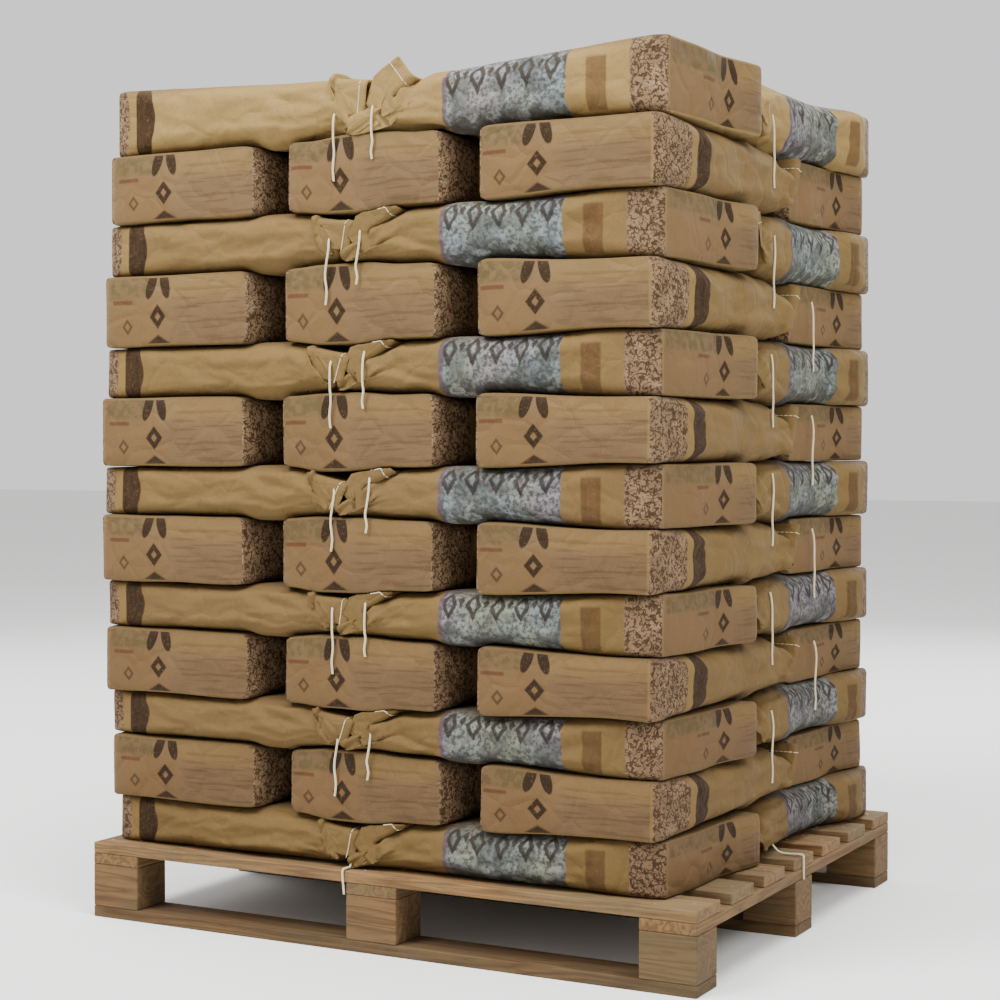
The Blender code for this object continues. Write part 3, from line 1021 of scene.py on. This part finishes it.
def wall_prints(net, u, v, slide, place, settings, base):
    """The prints on a sack's long sides: borders, a band, a block and a panel."""
    ink, kraft = tuple(settings.ink), tuple(settings.kraft)
    lift_q, low = GIRTH / 2 - u, v - slide
    side_p, side_q = abs(u).below(*SIDE_FACE), abs(lift_q).below(*SIDE_FACE)
    strokes = sprigs(net, place)
    # sprigs around the block bottom, as far as a curved edge
    border_p = v.above(-0.5, 0.001) * (low + 5.0 * u * u).below(BORDER_P_END, 0.004) * side_p
    border_q = v.above(-0.5, 0.001) * v.below(BORDER_Q_END, 0.006) * side_q
    border = border_p.most(border_q)
    cloud = net.noise(place, 30.0, 1.0, 0.6).above(0.46, 0.2)
    # dark band beside the border on side p, straight at one edge
    streak = net.noise(net.stretched(place, (120.0, 120.0, 12.0)), 1.0, 1.0, 0.6)
    band = low.above(BAND_START, 0.003) * (low + 7.0 * u * u).below(BAND_END, 0.003) * side_p
    band_ink = net.coats(tinted(ink, 0.9), (streak.above(0.50, 0.2) * 0.7, tinted(ink, 2.2)),
                         (strokes * 0.30, tinted(ink, 4.0)))
    pale = low.above(PALE_START, 0.004) * low.below(BAND_START, 0.003) * side_p
    # plain brown block on side q
    block = v.between(*BLOCK_ALONG, 0.003) * lift_q.between(*BLOCK_UP, 0.004)
    block_ink = net.mix(streak.above(0.5, 0.3), tinted(ink, 3.2), tinted(ink, 4.8))
    colour = net.coats(base, (border * 0.90, BORDER_GROUND),
                       (cloud * 0.34 * border, BORDER_CLOUD),
                       (strokes * 0.86 * border, tinted(ink, 1.9)),
                       (band * 0.96, band_ink), (pale * 0.7, tinted(kraft, 1.30)),
                       (block * 0.66, block_ink))
    return speckled_panel(net, v, lift_q, place, settings, colour)


def speckled_panel(net, v, lift, place, settings, base):
    """A blue-grey panel of flecks, with a row of lozenges along its top."""
    area = v.between(*PANEL_ALONG, 0.003) * abs(lift).below(*PANEL_UP)
    olive = net.noise(place, 9.0, 1.0).above(0.5, 0.3)
    purple = net.noise(place, 6.0, 0.0).above(0.60, 0.15)
    fleck = net.noise(place, 140.0, 1.0, 0.6)
    blot = net.noise(place, 24.0, 1.0, 0.6).above(0.54, 0.10)
    foot = lift.below(-0.020, 0.04) * net.noise(place, 34.0, 1.0).above(0.46, 0.10)
    # large lozenges with small ones between them
    half = LOZENGE_PITCH / 2
    large, small = (abs((v - LOZENGE_START + start) % LOZENGE_PITCH - half)
                    for start in (0.0, half))
    unsteady = net.noise(place, 70.0, 1.0) * 0.010 - 0.005
    large = large * 1.75 + abs(lift - LOZENGE_UP) + unsteady
    small = (small * 1.6 + abs(lift - SMALL_LOZENGE_UP)).below(0.0100, 0.004)
    ring = large.below(0.0265, 0.004) - large.below(0.0120, 0.004)
    panel = net.coats(tuple(settings.panel), (olive, PANEL_OLIVE), (purple * 0.7, PANEL_PURPLE),
                      (fleck.above(0.575, 0.08) * 0.45, PANEL_PALE),
                      (fleck.below(0.44, 0.06) * 0.72, PANEL_DARK),
                      (blot * 0.55, PANEL_BLOT), (foot * 0.80, PANEL_FOOT),
                      (ring.most(small) * 0.92, LOZENGE_INK),
                      (v.above(STRIPE_START, 0.004) * 0.75, PANEL_EDGE))
    return net.mix(area * 0.94, base, panel)


def end_prints(net, uv, edge, slide, z, place, settings, base):
    """Prints, painted light and shade on a block bottom, seen from outside with side p at the
    right.
    """
    ink, kraft = tuple(settings.ink), tuple(settings.kraft)
    x = edge - slide
    ochre = edge.above(-0.150, 0.04) * x.below(-0.020, 0.04) * z.below(0.075, 0.03)
    # on the right part, a painted highlight at the top and painted shade across the middle
    pale = x.above(-0.020, 0.02) * z.above(0.070, 0.02)
    dull = x.above(0.0, 0.03) * z.between(0.015, 0.060, 0.03)
    moss = edge.above(MOSS_FROM, 0.006) * x.below(MOSS_TO, 0.006) * z.above(MOSS_UP, 0.006)
    mottle = net.noise(place, 75.0, 2.0).above(0.5, 0.10)
    bar = x.between(*BAR_ACROSS, 0.003) * z.between(*BAR_UP, 0.002)
    # two leaves that hang from the top edge, over a lozenge and a foot mark
    middle, below = x - LEAVES_ACROSS, z - LEAVES_UP
    along = below * 0.48
    leaves = []
    for side in (-1.0, 1.0):
        across = middle * side - 0.015 + below * 0.30
        leaves.append((across * across + along * along).below(0.000110, 0.00003))
    lozenge = abs(middle) + abs(z - RING_UP)
    ring = lozenge.below(0.0185, 0.003) - lozenge.below(0.0065, 0.003)
    foot = (abs(middle) * 0.50 + z).below(0.017, 0.004)
    small = abs(x - SMALL_RING[0]) + abs(z - SMALL_RING[1])
    small = small.below(0.0120, 0.003) - small.below(0.0062, 0.003)
    grain = net.noise(net.stretched(uv, (9.0, 150.0, 1.0)), 1.0, 2.0, 0.5)
    ruled = grain.below(0.44, 0.08) * x.above(0.000, 0.03) * z.below(0.090, 0.02)
    return net.coats(base, (ochre * 0.40, OCHRE), (pale * 0.5, tinted(kraft, 1.15)),
                     (dull * 0.35, tinted(settings.kraft_end, 0.72)),
                     (moss * (0.30 + 0.5 * mottle), MOSS), (bar * 0.70, RUST_BAR),
                     (leaves[0].most(leaves[1]).most(ring).most(foot) * 0.93, ink),
                     (small * 0.70, tinted(ink, 1.8)), (ruled * 0.32, tinted(ink, 3.0)),
                     (abs(edge).above(EDGE_FROM, 0.003) * 0.6, tinted(kraft, 1.30)))


def kraft_material(settings):
    """Creased kraft paper with its prints, on the map in metres."""
    net = Net("kraft_paper_printed", 0.78, 0.14)
    place = net.object_place()
    uv = net.add("ShaderNodeUVMap", {"uv_map": "print"})
    u, v, _ = net.split(uv)
    batch, hollow, bleach, slide_end, slide_side = (
        net.add("ShaderNodeAttribute", {"attribute_name": name}, {}, "Fac") for name in MARKS)
    kraft, kraft_end = tuple(settings.kraft), tuple(settings.kraft_end)
    cloud = net.noise(place, 7.0, 2.0, 0.6)
    fibre = net.noise(place, 420.0, 1.0, 0.7)
    facet = net.creases(place, 17.0)
    # worn folds are paler, and the top layer is painted lighter as painted light
    wall = net.coats(kraft, (cloud.above(0.5, 0.5), tinted(kraft, 0.84)),
                     (batch * 0.45, WARM_KRAFT), (bleach * 0.60, TOP_LIT_KRAFT),
                     (facet.below(0.015, 0.03) * 0.14, tinted(kraft, 1.35)))
    end = net.coats(kraft_end, (cloud.above(0.5, 0.5), tinted(kraft_end, 0.86)),
                    (batch * 0.35, COOL_BOTTOM))
    wall = wall_prints(net, u, v, slide_side, place, settings, wall)
    end = end_prints(net, uv, u, slide_end, v + 1.0, place, settings, end)
    speck = net.noise(place, 260.0, 1.0, 0.65).above(0.66, 0.1)
    height = net.split(place)[2]
    # painted shade lies near the seams between the sacks, and the lower layers are painted
    # darker as painted shade
    colour = net.coats(wall, (v.below(-0.4, 0.01), end), (speck * 0.30, tinted(kraft, 1.1)),
                       (fibre.below(0.36, 0.1) * 0.35, tinted(kraft, 0.45)),
                       (hollow * 0.75, SEAM_SHADE))
    colour = net.mix(height.below(0.75, 0.90), colour, LOW_LAYER_SHADE, 'MULTIPLY')
    net.feed("Base Color", colour)

    net.feed("Roughness", 0.68 + 0.20 * cloud)
    broad = net.noise(place, 15.0, 1.0, 0.5)
    crumple = net.bump(broad + facet.least(0.16) * 1.5, 0.0120, 0.5)
    ridges = abs(net.noise(place, 38.0, 0.0) - 0.5).least(0.10)
    fine = net.noise(place, 48.0, 2.0, 0.6) + ridges
    on_wall = v.above(-0.4, 0.01)
    small = net.bump(fine * (0.35 + 0.65 * on_wall), 0.0030, 0.5, crumple)
    net.feed("Normal", net.bump(fibre, 0.0003, 0.5, small))
    return net.material


def thread_material(settings):
    """Twisted cotton thread."""
    net = Net("sewing_thread_cotton", 0.82, 0.2)
    place = net.object_place()
    ply = net.noise(place, 700.0, 2.0, 0.6)
    colour = tuple(settings.thread)
    net.feed("Base Color", net.mix(ply.below(0.45, 0.2) * 0.5, colour, tinted(colour, 0.72)))
    net.feed("Normal", net.bump(ply, 0.0006, 0.7))
    return net.material


def timber_material(name, settings, along, shift, tone):
    """Sawn softwood with its grain along X or Y, knots and grey bloom; tone is painted shade."""
    net = Net(name, 0.82, 0.25)
    place = net.stretched(net.object_place(), (1.0, 1.0, 1.0), shift)
    scale, knot_scale = [0.9, 15.0, 15.0], [2.4, 9.0, 9.0]
    if along == "y":
        scale, knot_scale = [15.0, 0.9, 15.0], [9.0, 2.4, 9.0]
    # tone darkens the wood of the lower parts as painted shade
    light_wood, dark_wood = tinted(settings.light_wood, tone), tinted(settings.dark_wood, tone)
    cell = net.add("ShaderNodeTexVoronoi", {"feature": 'F1'},
                   {"Vector": net.stretched(place, knot_scale), "Scale": 1.0})
    chosen = net.add("ShaderNodeSeparateColor", {}, {0: cell.other(1)}).above(0.62, 0.02)
    near_knot, knot = cell.below(0.42, 0.30) * chosen, cell.below(0.13, 0.05) * chosen
    grain = net.noise(net.stretched(place, scale), 1.0, 3.0, 0.55, 0.7)
    rings = abs((grain * 9.0 + near_knot * 1.3) % 1.0 - 0.5) * 2.0
    fibre = net.noise(net.stretched(place, [side * 14.0 for side in scale]), 1.0, 3.0, 0.7)
    bloom = net.noise(place, 3.2, 3.0, 0.6).above(0.52, 0.25)
    stain = net.noise(place, 11.0, 4.0, 0.65).above(0.63, 0.08)
    colour = net.coats(light_wood, (rings ** 1.6, dark_wood),
                       (bloom * 0.55, tinted(settings.weather, tone)),
                       (fibre.below(0.42, 0.12) * 0.40, tinted(dark_wood, 0.55)),
                       (knot * 0.88, KNOT), (stain * 0.45, STAIN))
    net.feed("Base Color", colour)
    net.feed("Roughness", 0.74 + 0.18 * fibre)
    net.feed("Normal", net.bump(fibre, 0.0007, 0.7, net.bump(rings, 0.0007, 0.5)))
    return net.material


def nail_material():
    """Dull steel with spots of rust."""
    net = Net("nail_steel_dull", 0.55, 0.5)
    place = net.object_place()
    rust = net.noise(place, 240.0, 3.0, 0.6).above(0.52, 0.1)
    net.feed("Base Color", net.mix(rust, NAIL_STEEL, NAIL_RUST))
    net.feed("Metallic", 0.8 * (1.0 - rust))
    return net.material


# Stage

def aim(item, place, target):
    item.location = place
    item.rotation_euler = (Vector(target) - Vector(place)).to_track_quat('-Z', 'Y').to_euler()


class SACKS_OT_stage(Operator):
    """Camera, floor and soft studio light"""
    bl_idname = "sacks.stage"
    bl_label = "Stage"

    def execute(self, context):
        settings = context.scene.pallet_of_sacks.stage
        self.add_camera(context.scene, settings)
        self.add_floor(settings)
        world = bpy.data.worlds.new("studio")
        world.use_nodes = True
        backdrop = world.node_tree.nodes["Background"]
        backdrop.inputs["Color"].default_value = (1.0, 1.0, 1.0, 1.0)
        backdrop.inputs["Strength"].default_value = BACKDROP_STRENGTH
        context.scene.world = world
        for name, (place, size, power) in LIGHTS.items():
            light = bpy.data.lights.new(name, 'AREA')
            light.shape = 'DISK'
            light.size = size
            light.energy = power
            aim(new_object(name, light), place, LIGHT_TARGET)
        return {'FINISHED'}

    def add_camera(self, scene, settings):
        camera = bpy.data.cameras.new("camera")
        camera.lens = settings.lens
        camera.sensor_width = SENSOR_WIDTH
        camera.shift_x, camera.shift_y = settings.shift
        level = math.cos(settings.tilt)
        ahead = Vector((-math.sin(settings.heading) * level, math.cos(settings.heading) * level,
                        -math.sin(settings.tilt)))
        scene.camera = new_object("camera", camera)
        eye = Vector(settings.eye)
        aim(scene.camera, eye, eye + ahead)

    def add_floor(self, settings):
        mesh = bpy.data.meshes.new("floor")
        half = settings.floor_size / 2
        corners = [(-half, -half, 0), (half, -half, 0), (half, half, 0), (-half, half, 0)]
        mesh.from_pydata(corners, [], [(0, 1, 2, 3)])
        net = Net("floor_pale", 0.9, 0.2)
        net.feed("Base Color", tuple(settings.floor))
        mesh.materials.append(net.material)
        new_object("floor", mesh)


# Thread ends

def smooth_route(route, count):
    """Points evenly spread on a Catmull-Rom curve through a route."""
    ends = [2 * route[0] - route[1]] + route + [2 * route[-1] - route[-2]]
    spans = len(route) - 1
    points = []
    for number in range(count):
        place = number * spans / (count - 1)
        span = min(int(place), spans - 1)
        t = place - span
        a, b, c, d = ends[span:span + 4]
        points.append(0.5 * (2 * b + (c - a) * t + (2 * a - 5 * b + 4 * c - d) * t ** 2
                             + (3 * b - a - 3 * c + d) * t ** 3))
    return points


def solid_reach(share):
    """Half the width of a sack's solid at a share of its length."""
    shares, widths = np.array(SOLID_WIDTHS).T
    return float(np.interp(share, shares, widths)) * HALF_WIDTH


def front_reach(number, x):
    """How far the front long sacks of a layer reach out at x, from y = 0."""
    half_length = layer_half_length(number)
    share = (half_length - abs(x - layer_shift(number))) / (half_length + MOUTH_OVERLAP)
    return layer_half_width(number) - HALF_WIDTH + solid_reach(share)


def side_reach(number, y):
    """How far the right cross sack of a layer reaches out at y, from x = 0."""
    half_width = layer_half_width(number)
    bottom_y = -half_width if number % 2 else half_width
    share = abs(bottom_y - y) / (2 * half_width - SACK_WIDTH + MOUTH_OVERLAP)
    centre = layer_half_length(number) - HALF_WIDTH + SIDE_BELLY
    return layer_shift(number) + centre + solid_reach(share)


def front_rest(number, x, sway):
    return layer_half_width(number)


def side_rest(number, y, sway):
    return max(side_reach(number, y), side_reach(number, y + sway))


def end_reach(number, y):
    """Where the right block bottoms of the long sacks end."""
    return layer_shift(number) + layer_half_length(number)


def sack_route(upper, lower, seam, sway, kind):
    """Out of a mouth and down the sack below: along, out and height."""
    rise, drop = kind
    start, rest = upper + THREAD_SEAT, lower + THREAD_SEAT
    outer = max(start, rest)
    return [
        (0.0, start, seam + rise),
        (0.001, start + 0.7 * (outer - start), seam + 0.7 * rise),
        (0.002, outer, seam + 0.25 * rise),
        (0.5 * sway, rest + 0.3 * (outer - rest), seam - 0.2 * drop),
        (sway, rest, seam - 0.45 * drop),
        (0.3 * sway, rest, seam - 0.75 * drop),
        (0.8 * sway, rest, seam - drop),
    ]


def edge_route(upper, edge, seam):
    """Out of a mouth, over the deck and down the pallet's edge."""
    start, rest = upper + THREAD_SEAT, edge + THREAD_SEAT
    return [
        (0.0, start, seam + EDGE_RISE),
        (0.001, start + 0.3 * (edge - start), seam + THREAD_SEAT + 0.001),
        (0.002, edge - 0.008, seam + THREAD_SEAT + 0.001),
        (0.001, edge + 0.002, seam + THREAD_SEAT),
        (0.000, rest + 0.0005, seam - 0.007),
        (0.003, rest, seam - EDGE_DROP),
    ]


def on_front(x, route):
    return [Vector((x + along, -out, z)) for along, out, z in route]


def on_side(y, route):
    return [Vector((out, y + along, z)) for along, out, z in route]


def add_thread(node, route, material):
    """A thread end as a round curve on its solid's own line."""
    curve = bpy.data.curves.new(node + "_cord", 'CURVE')
    curve.dimensions = '3D'
    curve.bevel_depth = THREAD_DIAMETER / 2
    curve.bevel_resolution = 3
    curve.use_fill_caps = True
    points = smooth_route(route, THREAD_POINTS)
    spline = curve.splines.new('POLY')
    spline.points.add(len(points) - 1)
    for point, place in zip(spline.points, points):
        point.co = (*place, 1.0)
    curve.materials.append(material)
    thread = new_object(node + "_cord", curve)
    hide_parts(node)
    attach(thread, BODY)
    return np.array(points)


# Rows of thread ends: their places, rise and drop, what they leave, lie on and face
THREAD_ROWS = {
    "front_left": (FRONT_THREADS_LEFT, LOW_THREAD, front_reach, front_rest, on_front),
    "front_right": (FRONT_THREADS_RIGHT, HIGH_THREAD, front_reach, front_rest, on_front),
    "side_near": (SIDE_THREADS_NEAR, SIDE_THREAD, side_reach, side_rest, on_side),
    "side_far": (SIDE_THREADS_FAR, SIDE_THREAD, end_reach, side_rest, on_side),
}
# The lines of the row side_near, which cross the bulges of the mouths
SIDE_LINES = []


class SACKS_OT_threads(Operator):
    """Loose ends of sewing thread that hang from the mouths"""
    bl_idname = "sacks.threads"
    bl_label = "Thread Ends"

    def execute(self, context):
        material = thread_material(context.scene.pallet_of_sacks.stitches)
        for label, row in THREAD_ROWS.items():
            lines = self.hang_row(label, material, *row)
            if label == "side_near":
                SIDE_LINES.extend(lines)
        seam = layer_bottom(0)
        route = edge_route(front_reach(0, PALLET_THREAD_X), PALLET_HALF_Y, seam)
        add_thread("thread_front_01", on_front(PALLET_THREAD_X, route), material)
        route = edge_route(side_reach(0, PALLET_THREAD_Y), PALLET_HALF_X, seam)
        add_thread("thread_side_01", on_side(PALLET_THREAD_Y, route), material)
        return {'FINISHED'}

    def hang_row(self, label, material, places, kind, reach, rest, on_face):
        """Like thread ends, each from a layer's mouth down the sack below it."""
        lines = []
        for order, (number, place) in enumerate(places.items()):
            sway = THREAD_SWAYS[order % 2]
            route = sack_route(reach(number, place), rest(number - 1, place, sway),
                               layer_bottom(number), sway, kind)
            node = f"thread_{label}_{number + 1:02d}"
            lines.append(add_thread(node, on_face(place, route), material))
        return lines


# Sacks

def add_attribute(mesh, name, values):
    attribute = mesh.attributes.new(name, 'FLOAT', 'POINT')
    attribute.data.foreach_set("value", np.asarray(values, np.float32).ravel())


def hollow_shade(points, normals):
    """Painted shade near the seams, deepest where a sack turns under."""
    low_side = ease(-normals[:, :, 2], 0.15, 0.95)
    share = points[:, :, 2] / LAYER_PITCH
    seams = ease(np.abs(share - 0.5), 0.36, 0.5)
    return np.clip(0.45 * low_side * seams + 0.25 * seams, 0.0, 1.0)


def press_in(laid):
    """Pushes the paper in where a thread of the right side lies on it."""
    for line in SIDE_LINES:
        out, along, height = line[::-1].T
        x, y, z = laid[:, :, 0], laid[:, :, 1], laid[:, :, 2]
        past = z - np.clip(z, height[0], height[-1])
        away = np.hypot(y - np.interp(z, height, along), past)
        limit = np.interp(z, height, out) - THREAD_BED + BED_SLOPE * away
        laid[:, :, 0] = np.where(away < BED_REACH, np.minimum(x, limit), x)


def seam_lines(points, table, girth):
    """Two lines along the sewing, on both faces of the flat mouth."""
    ring = int(np.argmin(np.abs(table[:, 5] - (table[-1, 5] - SEAM_INSET))))
    steps = np.arange(1, girth.count // 2)
    return [points[ring, (girth.middle_p + way * steps) % girth.count] for way in (1, -1)]


# The sewing lines of each layer's mouths
SEAMS = {}


class SACKS_OT_sacks(Operator):
    """Sixty-five filled paper sacks in thirteen interlocked layers"""
    bl_idname = "sacks.sacks"
    bl_label = "Sacks"

    def execute(self, context):
        settings = context.scene.pallet_of_sacks.sacks
        material = kraft_material(settings)
        fields = [cloth_field(settings, variant) for variant in range(settings.variants)]
        stack = [layer_sacks(number, settings) for number in range(LAYERS)]
        for layer in stack:
            for sack in layer:
                item, lines = self.add_sack(sack, stack, fields, settings, material)
                SEAMS.setdefault(sack.layer, []).extend(lines)
                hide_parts(LAYER_NODES[sack.layer])
                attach(item, BODY)
        return {'FINISHED'}

    def add_sack(self, sack, stack, fields, settings, material):
        girth = Girth(sack.outward)
        points, table = sack_skin(sack, girth, LAYER_PITCH)
        normals = skin_normals(points)
        relief = relief_of(sack, normals, table, girth, fields, settings)
        shaped = points + normals * relief[:, :, None]
        laid = lay_down(sack, shaped, stack, settings)
        press_in(laid)
        mesh = sack_mesh(sack.name, shaped, table, girth)
        mesh.vertices.foreach_set("co", laid.astype(np.float32).ravel())
        tone = np.random.default_rng(sack.seed + 1).random()
        # the marks carry painted shade near the seams and painted light on the top layer
        marks = (tone, hollow_shade(points, normals), float(sack.layer == TOP_LAYER),
                 sack.slide_end, sack.slide_side)
        for name, value in zip(MARKS, marks):
            add_attribute(mesh, name, np.broadcast_to(value, laid.shape[:2]))
        mesh.materials.append(material)
        mesh.update()
        return new_object(sack.name, mesh), seam_lines(laid, table, girth)


# What repeats: stitches and nails, by Geometry Nodes

class Tree:
    """A Geometry Nodes tree with named inputs."""

    def __init__(self, name, inputs):
        self.tree = bpy.data.node_groups.new(name, 'GeometryNodeTree')
        sockets = self.tree.interface
        sockets.new_socket("Geometry", in_out='INPUT', socket_type='NodeSocketGeometry')
        self.identifiers = {}
        for label, kind, value in inputs:
            socket = sockets.new_socket(label, in_out='INPUT', socket_type=kind)
            if value is not None:
                socket.default_value = value
            self.identifiers[label] = socket.identifier
        sockets.new_socket("Geometry", in_out='OUTPUT', socket_type='NodeSocketGeometry')
        self.source = self.tree.nodes.new("NodeGroupInput")
        self.result = self.tree.nodes.new("NodeGroupOutput")

    def add(self, kind, settings=None, sockets=None):
        node = self.tree.nodes.new(kind)
        for key, value in (settings or {}).items():
            setattr(node, key, value)
        for key, value in (sockets or {}).items():
            if isinstance(value, bpy.types.NodeSocket):
                self.tree.links.new(value, node.inputs[key])
            else:
                node.inputs[key].default_value = value
        return node

    def finish(self, geometry):
        real = self.add("GeometryNodeRealizeInstances", {}, {"Geometry": geometry})
        sockets = {"Geometry": real.outputs[0], "Material": self.source.outputs["Material"]}
        painted = self.add("GeometryNodeSetMaterial", {}, sockets)
        self.tree.links.new(painted.outputs[0], self.result.inputs[0])

    def grow(self, name, mesh, values):
        """The tree's result on a mesh, as a plain mesh in an object."""
        seed_object = new_object(name + "_seed", mesh)
        modifier = seed_object.modifiers.new("grow", 'NODES')
        modifier.node_group = self.tree
        for label, value in values.items():
            modifier[self.identifiers[label]] = value
        graph = bpy.context.evaluated_depsgraph_get()
        made = bpy.data.meshes.new_from_object(seed_object.evaluated_get(graph))
        seed_object.modifiers.remove(modifier)
        bpy.data.objects.remove(seed_object)
        bpy.data.meshes.remove(mesh)
        made.name = name
        return new_object(name, made)


def stitch_tree():
    """Stitches of a given length, spread evenly along lines."""
    tree = Tree("sewn_seam", (("Pitch", 'NodeSocketFloat', 0.0085),
                              ("Length", 'NodeSocketFloat', 0.0062),
                              ("Thickness", 'NodeSocketFloat', 0.0016),
                              ("Material", 'NodeSocketMaterial', None)))
    given = tree.source.outputs
    line = tree.add("GeometryNodeMeshToCurve", {}, {"Mesh": given["Geometry"]})
    points = tree.add("GeometryNodeCurveToPoints", {"mode": 'LENGTH'},
                      {"Curve": line.outputs[0], "Length": given["Pitch"]})
    half = tree.add("ShaderNodeMath", {"operation": 'MULTIPLY'}, {0: given["Thickness"], 1: 0.5})
    stitch = tree.add("GeometryNodeMeshCylinder", {"fill_type": 'TRIANGLE_FAN'},
                      {"Vertices": 5, "Radius": half.outputs[0], "Depth": given["Length"]})
    placed = tree.add("GeometryNodeInstanceOnPoints", {},
                      {"Points": points.outputs["Points"], "Instance": stitch.outputs["Mesh"],
                       "Rotation": points.outputs["Rotation"]})
    tree.finish(placed.outputs[0])
    return tree


def lines_mesh(lines):
    """A mesh of open lines through points."""
    edges, start = [], 0
    for line in lines:
        edges += [(number, number + 1) for number in range(start, start + len(line) - 1)]
        start += len(line)
    mesh = bpy.data.meshes.new("seam_lines")
    mesh.from_pydata(np.concatenate(lines).tolist(), edges, [])
    return mesh


class SACKS_OT_stitches(Operator):
    """The sewn seams across the flat mouths"""
    bl_idname = "sacks.stitches"
    bl_label = "Stitches"

    def execute(self, context):
        if not SEAMS:
            raise RuntimeError("the sacks come before their stitches")
        settings = context.scene.pallet_of_sacks.stitches
        values = {"Pitch": settings.pitch, "Length": settings.length,
                  "Thickness": settings.thickness, "Material": thread_material(settings)}
        tree = stitch_tree()
        for number, lines in SEAMS.items():
            item = tree.grow(f"seam_stitches_{number + 1:02d}", lines_mesh(lines), values)
            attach(item, BODY)
        return {'FINISHED'}


def nail_tree():
    """A flat round head at each point, each turned its own way."""
    tree = Tree("nail_heads", (("Head Radius", 'NodeSocketFloat', 0.004),
                               ("Head Height", 'NodeSocketFloat', 0.0014),
                               ("Seed", 'NodeSocketInt', 3),
                               ("Material", 'NodeSocketMaterial', None)))
    given = tree.source.outputs
    crown = tree.add("ShaderNodeMath", {"operation": 'MULTIPLY'},
                     {0: given["Head Radius"], 1: 0.86})
    head = tree.add("GeometryNodeMeshCone", {"fill_type": 'NGON'},
                    {"Vertices": 14, "Radius Top": crown.outputs[0],
                     "Radius Bottom": given["Head Radius"], "Depth": given["Head Height"]})
    tilt = tree.add("FunctionNodeRandomValue", {"data_type": 'FLOAT_VECTOR'},
                    {"Min": (-0.05, -0.05, 0.0), "Max": (0.05, 0.05, 6.28),
                     "Seed": given["Seed"]})
    placed = tree.add("GeometryNodeInstanceOnPoints", {},
                      {"Points": given["Geometry"], "Instance": head.outputs["Mesh"],
                       "Rotation": tilt.outputs[0]})
    tree.finish(placed.outputs[0])
    return tree


NAIL_OFFSETS = ((-0.026, -0.024), (0.026, 0.004), (-0.018, 0.028))
NAIL_WANDER = 0.006
NAIL_HEIGHTS = 2.4


def nail_places(rng, sunk):
    """Three nails where each deck board crosses each cross bar."""
    places = []
    for board in range(1, 8):
        low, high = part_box(f"deck_board_{board}")
        for column in ("left", "centre", "right"):
            bar_low, bar_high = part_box(f"cross_bar_{column}")
            x, y = (bar_low.x + bar_high.x) / 2, (low.y + high.y) / 2
            for dx, dy in NAIL_OFFSETS:
                wander = rng.uniform(-NAIL_WANDER, NAIL_WANDER, 2)
                places.append((x + dx + wander[0], y + dy + wander[1], high.z - sunk))
    return places


class SACKS_OT_nails(Operator):
    """Nail heads of the deck"""
    bl_idname = "sacks.nails"
    bl_label = "Nails"

    def execute(self, context):
        settings = context.scene.pallet_of_sacks.timber
        height = NAIL_HEIGHTS * settings.nail_proud
        rng = np.random.default_rng(context.scene.pallet_of_sacks.sacks.seed + 5)
        mesh = bpy.data.meshes.new("nail_points")
        mesh.from_pydata(nail_places(rng, height - settings.nail_proud), [], [])
        item = nail_tree().grow("deck_nails", mesh,
                                {"Head Radius": settings.nail_head / 2, "Head Height": height,
                                 "Seed": 3, "Material": nail_material()})
        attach(item, BODY)
        return {'FINISHED'}


# painted shade: how dark each kind of part is painted, darker the lower it lies under the deck
PAINTED_TIMBER_SHADE = {"deck": 1.0, "cross": 0.85, "block": 0.72, "skid": 0.56}
GRAIN_STEPS = (0.37, 0.71, 0.53)


class SACKS_OT_timber(Operator):
    """Wood of the pallet's boards and blocks"""
    bl_idname = "sacks.timber"
    bl_label = "Timber"

    def execute(self, context):
        settings = context.scene.pallet_of_sacks.timber
        names = [name for name in sorted(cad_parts) if name.split("_")[0] in PAINTED_TIMBER_SHADE]
        for order, name in enumerate(names):
            along = "y" if name.startswith("cross_bar_") else "x"
            shift = [step * order for step in GRAIN_STEPS]
            tone = PAINTED_TIMBER_SHADE[name.split("_")[0]]
            material = timber_material(f"softwood_{name}", settings, along, shift, tone)
            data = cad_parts[name].data
            data.materials.clear()
            data.materials.append(material)
        return {'FINISHED'}


class SACKS_PT_panel(Panel):
    """Lists the pieces of the pallet of sacks"""
    bl_label = "Pallet of Sacks"
    bl_idname = "SACKS_PT_panel"
    bl_space_type = 'VIEW_3D'
    bl_region_type = 'UI'
    bl_category = "Sacks"

    def draw(self, context):
        settings = context.scene.pallet_of_sacks
        for group in (settings.sacks, settings.stitches, settings.timber, settings.stage):
            box = self.layout.box()
            for name in group.__annotations__:
                box.prop(group, name)
        for operator in OPERATORS:
            self.layout.operator(operator.bl_idname)


OPERATORS = (SACKS_OT_stage, SACKS_OT_threads, SACKS_OT_timber, SACKS_OT_nails,
             SACKS_OT_sacks, SACKS_OT_stitches)
GROUPS = (SackSettings, StitchSettings, TimberSettings, StageSettings, PalletOfSacksSettings)


def register():
    for item in GROUPS + OPERATORS + (SACKS_PT_panel,):
        bpy.utils.register_class(item)
    bpy.types.Scene.pallet_of_sacks = PointerProperty(type=PalletOfSacksSettings)


def unregister():
    del bpy.types.Scene.pallet_of_sacks
    for item in reversed(GROUPS + OPERATORS + (SACKS_PT_panel,)):
        bpy.utils.unregister_class(item)


def main():
    register()
    bpy.ops.sacks.stage()
    bpy.ops.sacks.threads()
    bpy.ops.sacks.timber()
    bpy.ops.sacks.nails()
    bpy.ops.sacks.sacks()
    bpy.ops.sacks.stitches()


if __name__ == "__main__":
    main()
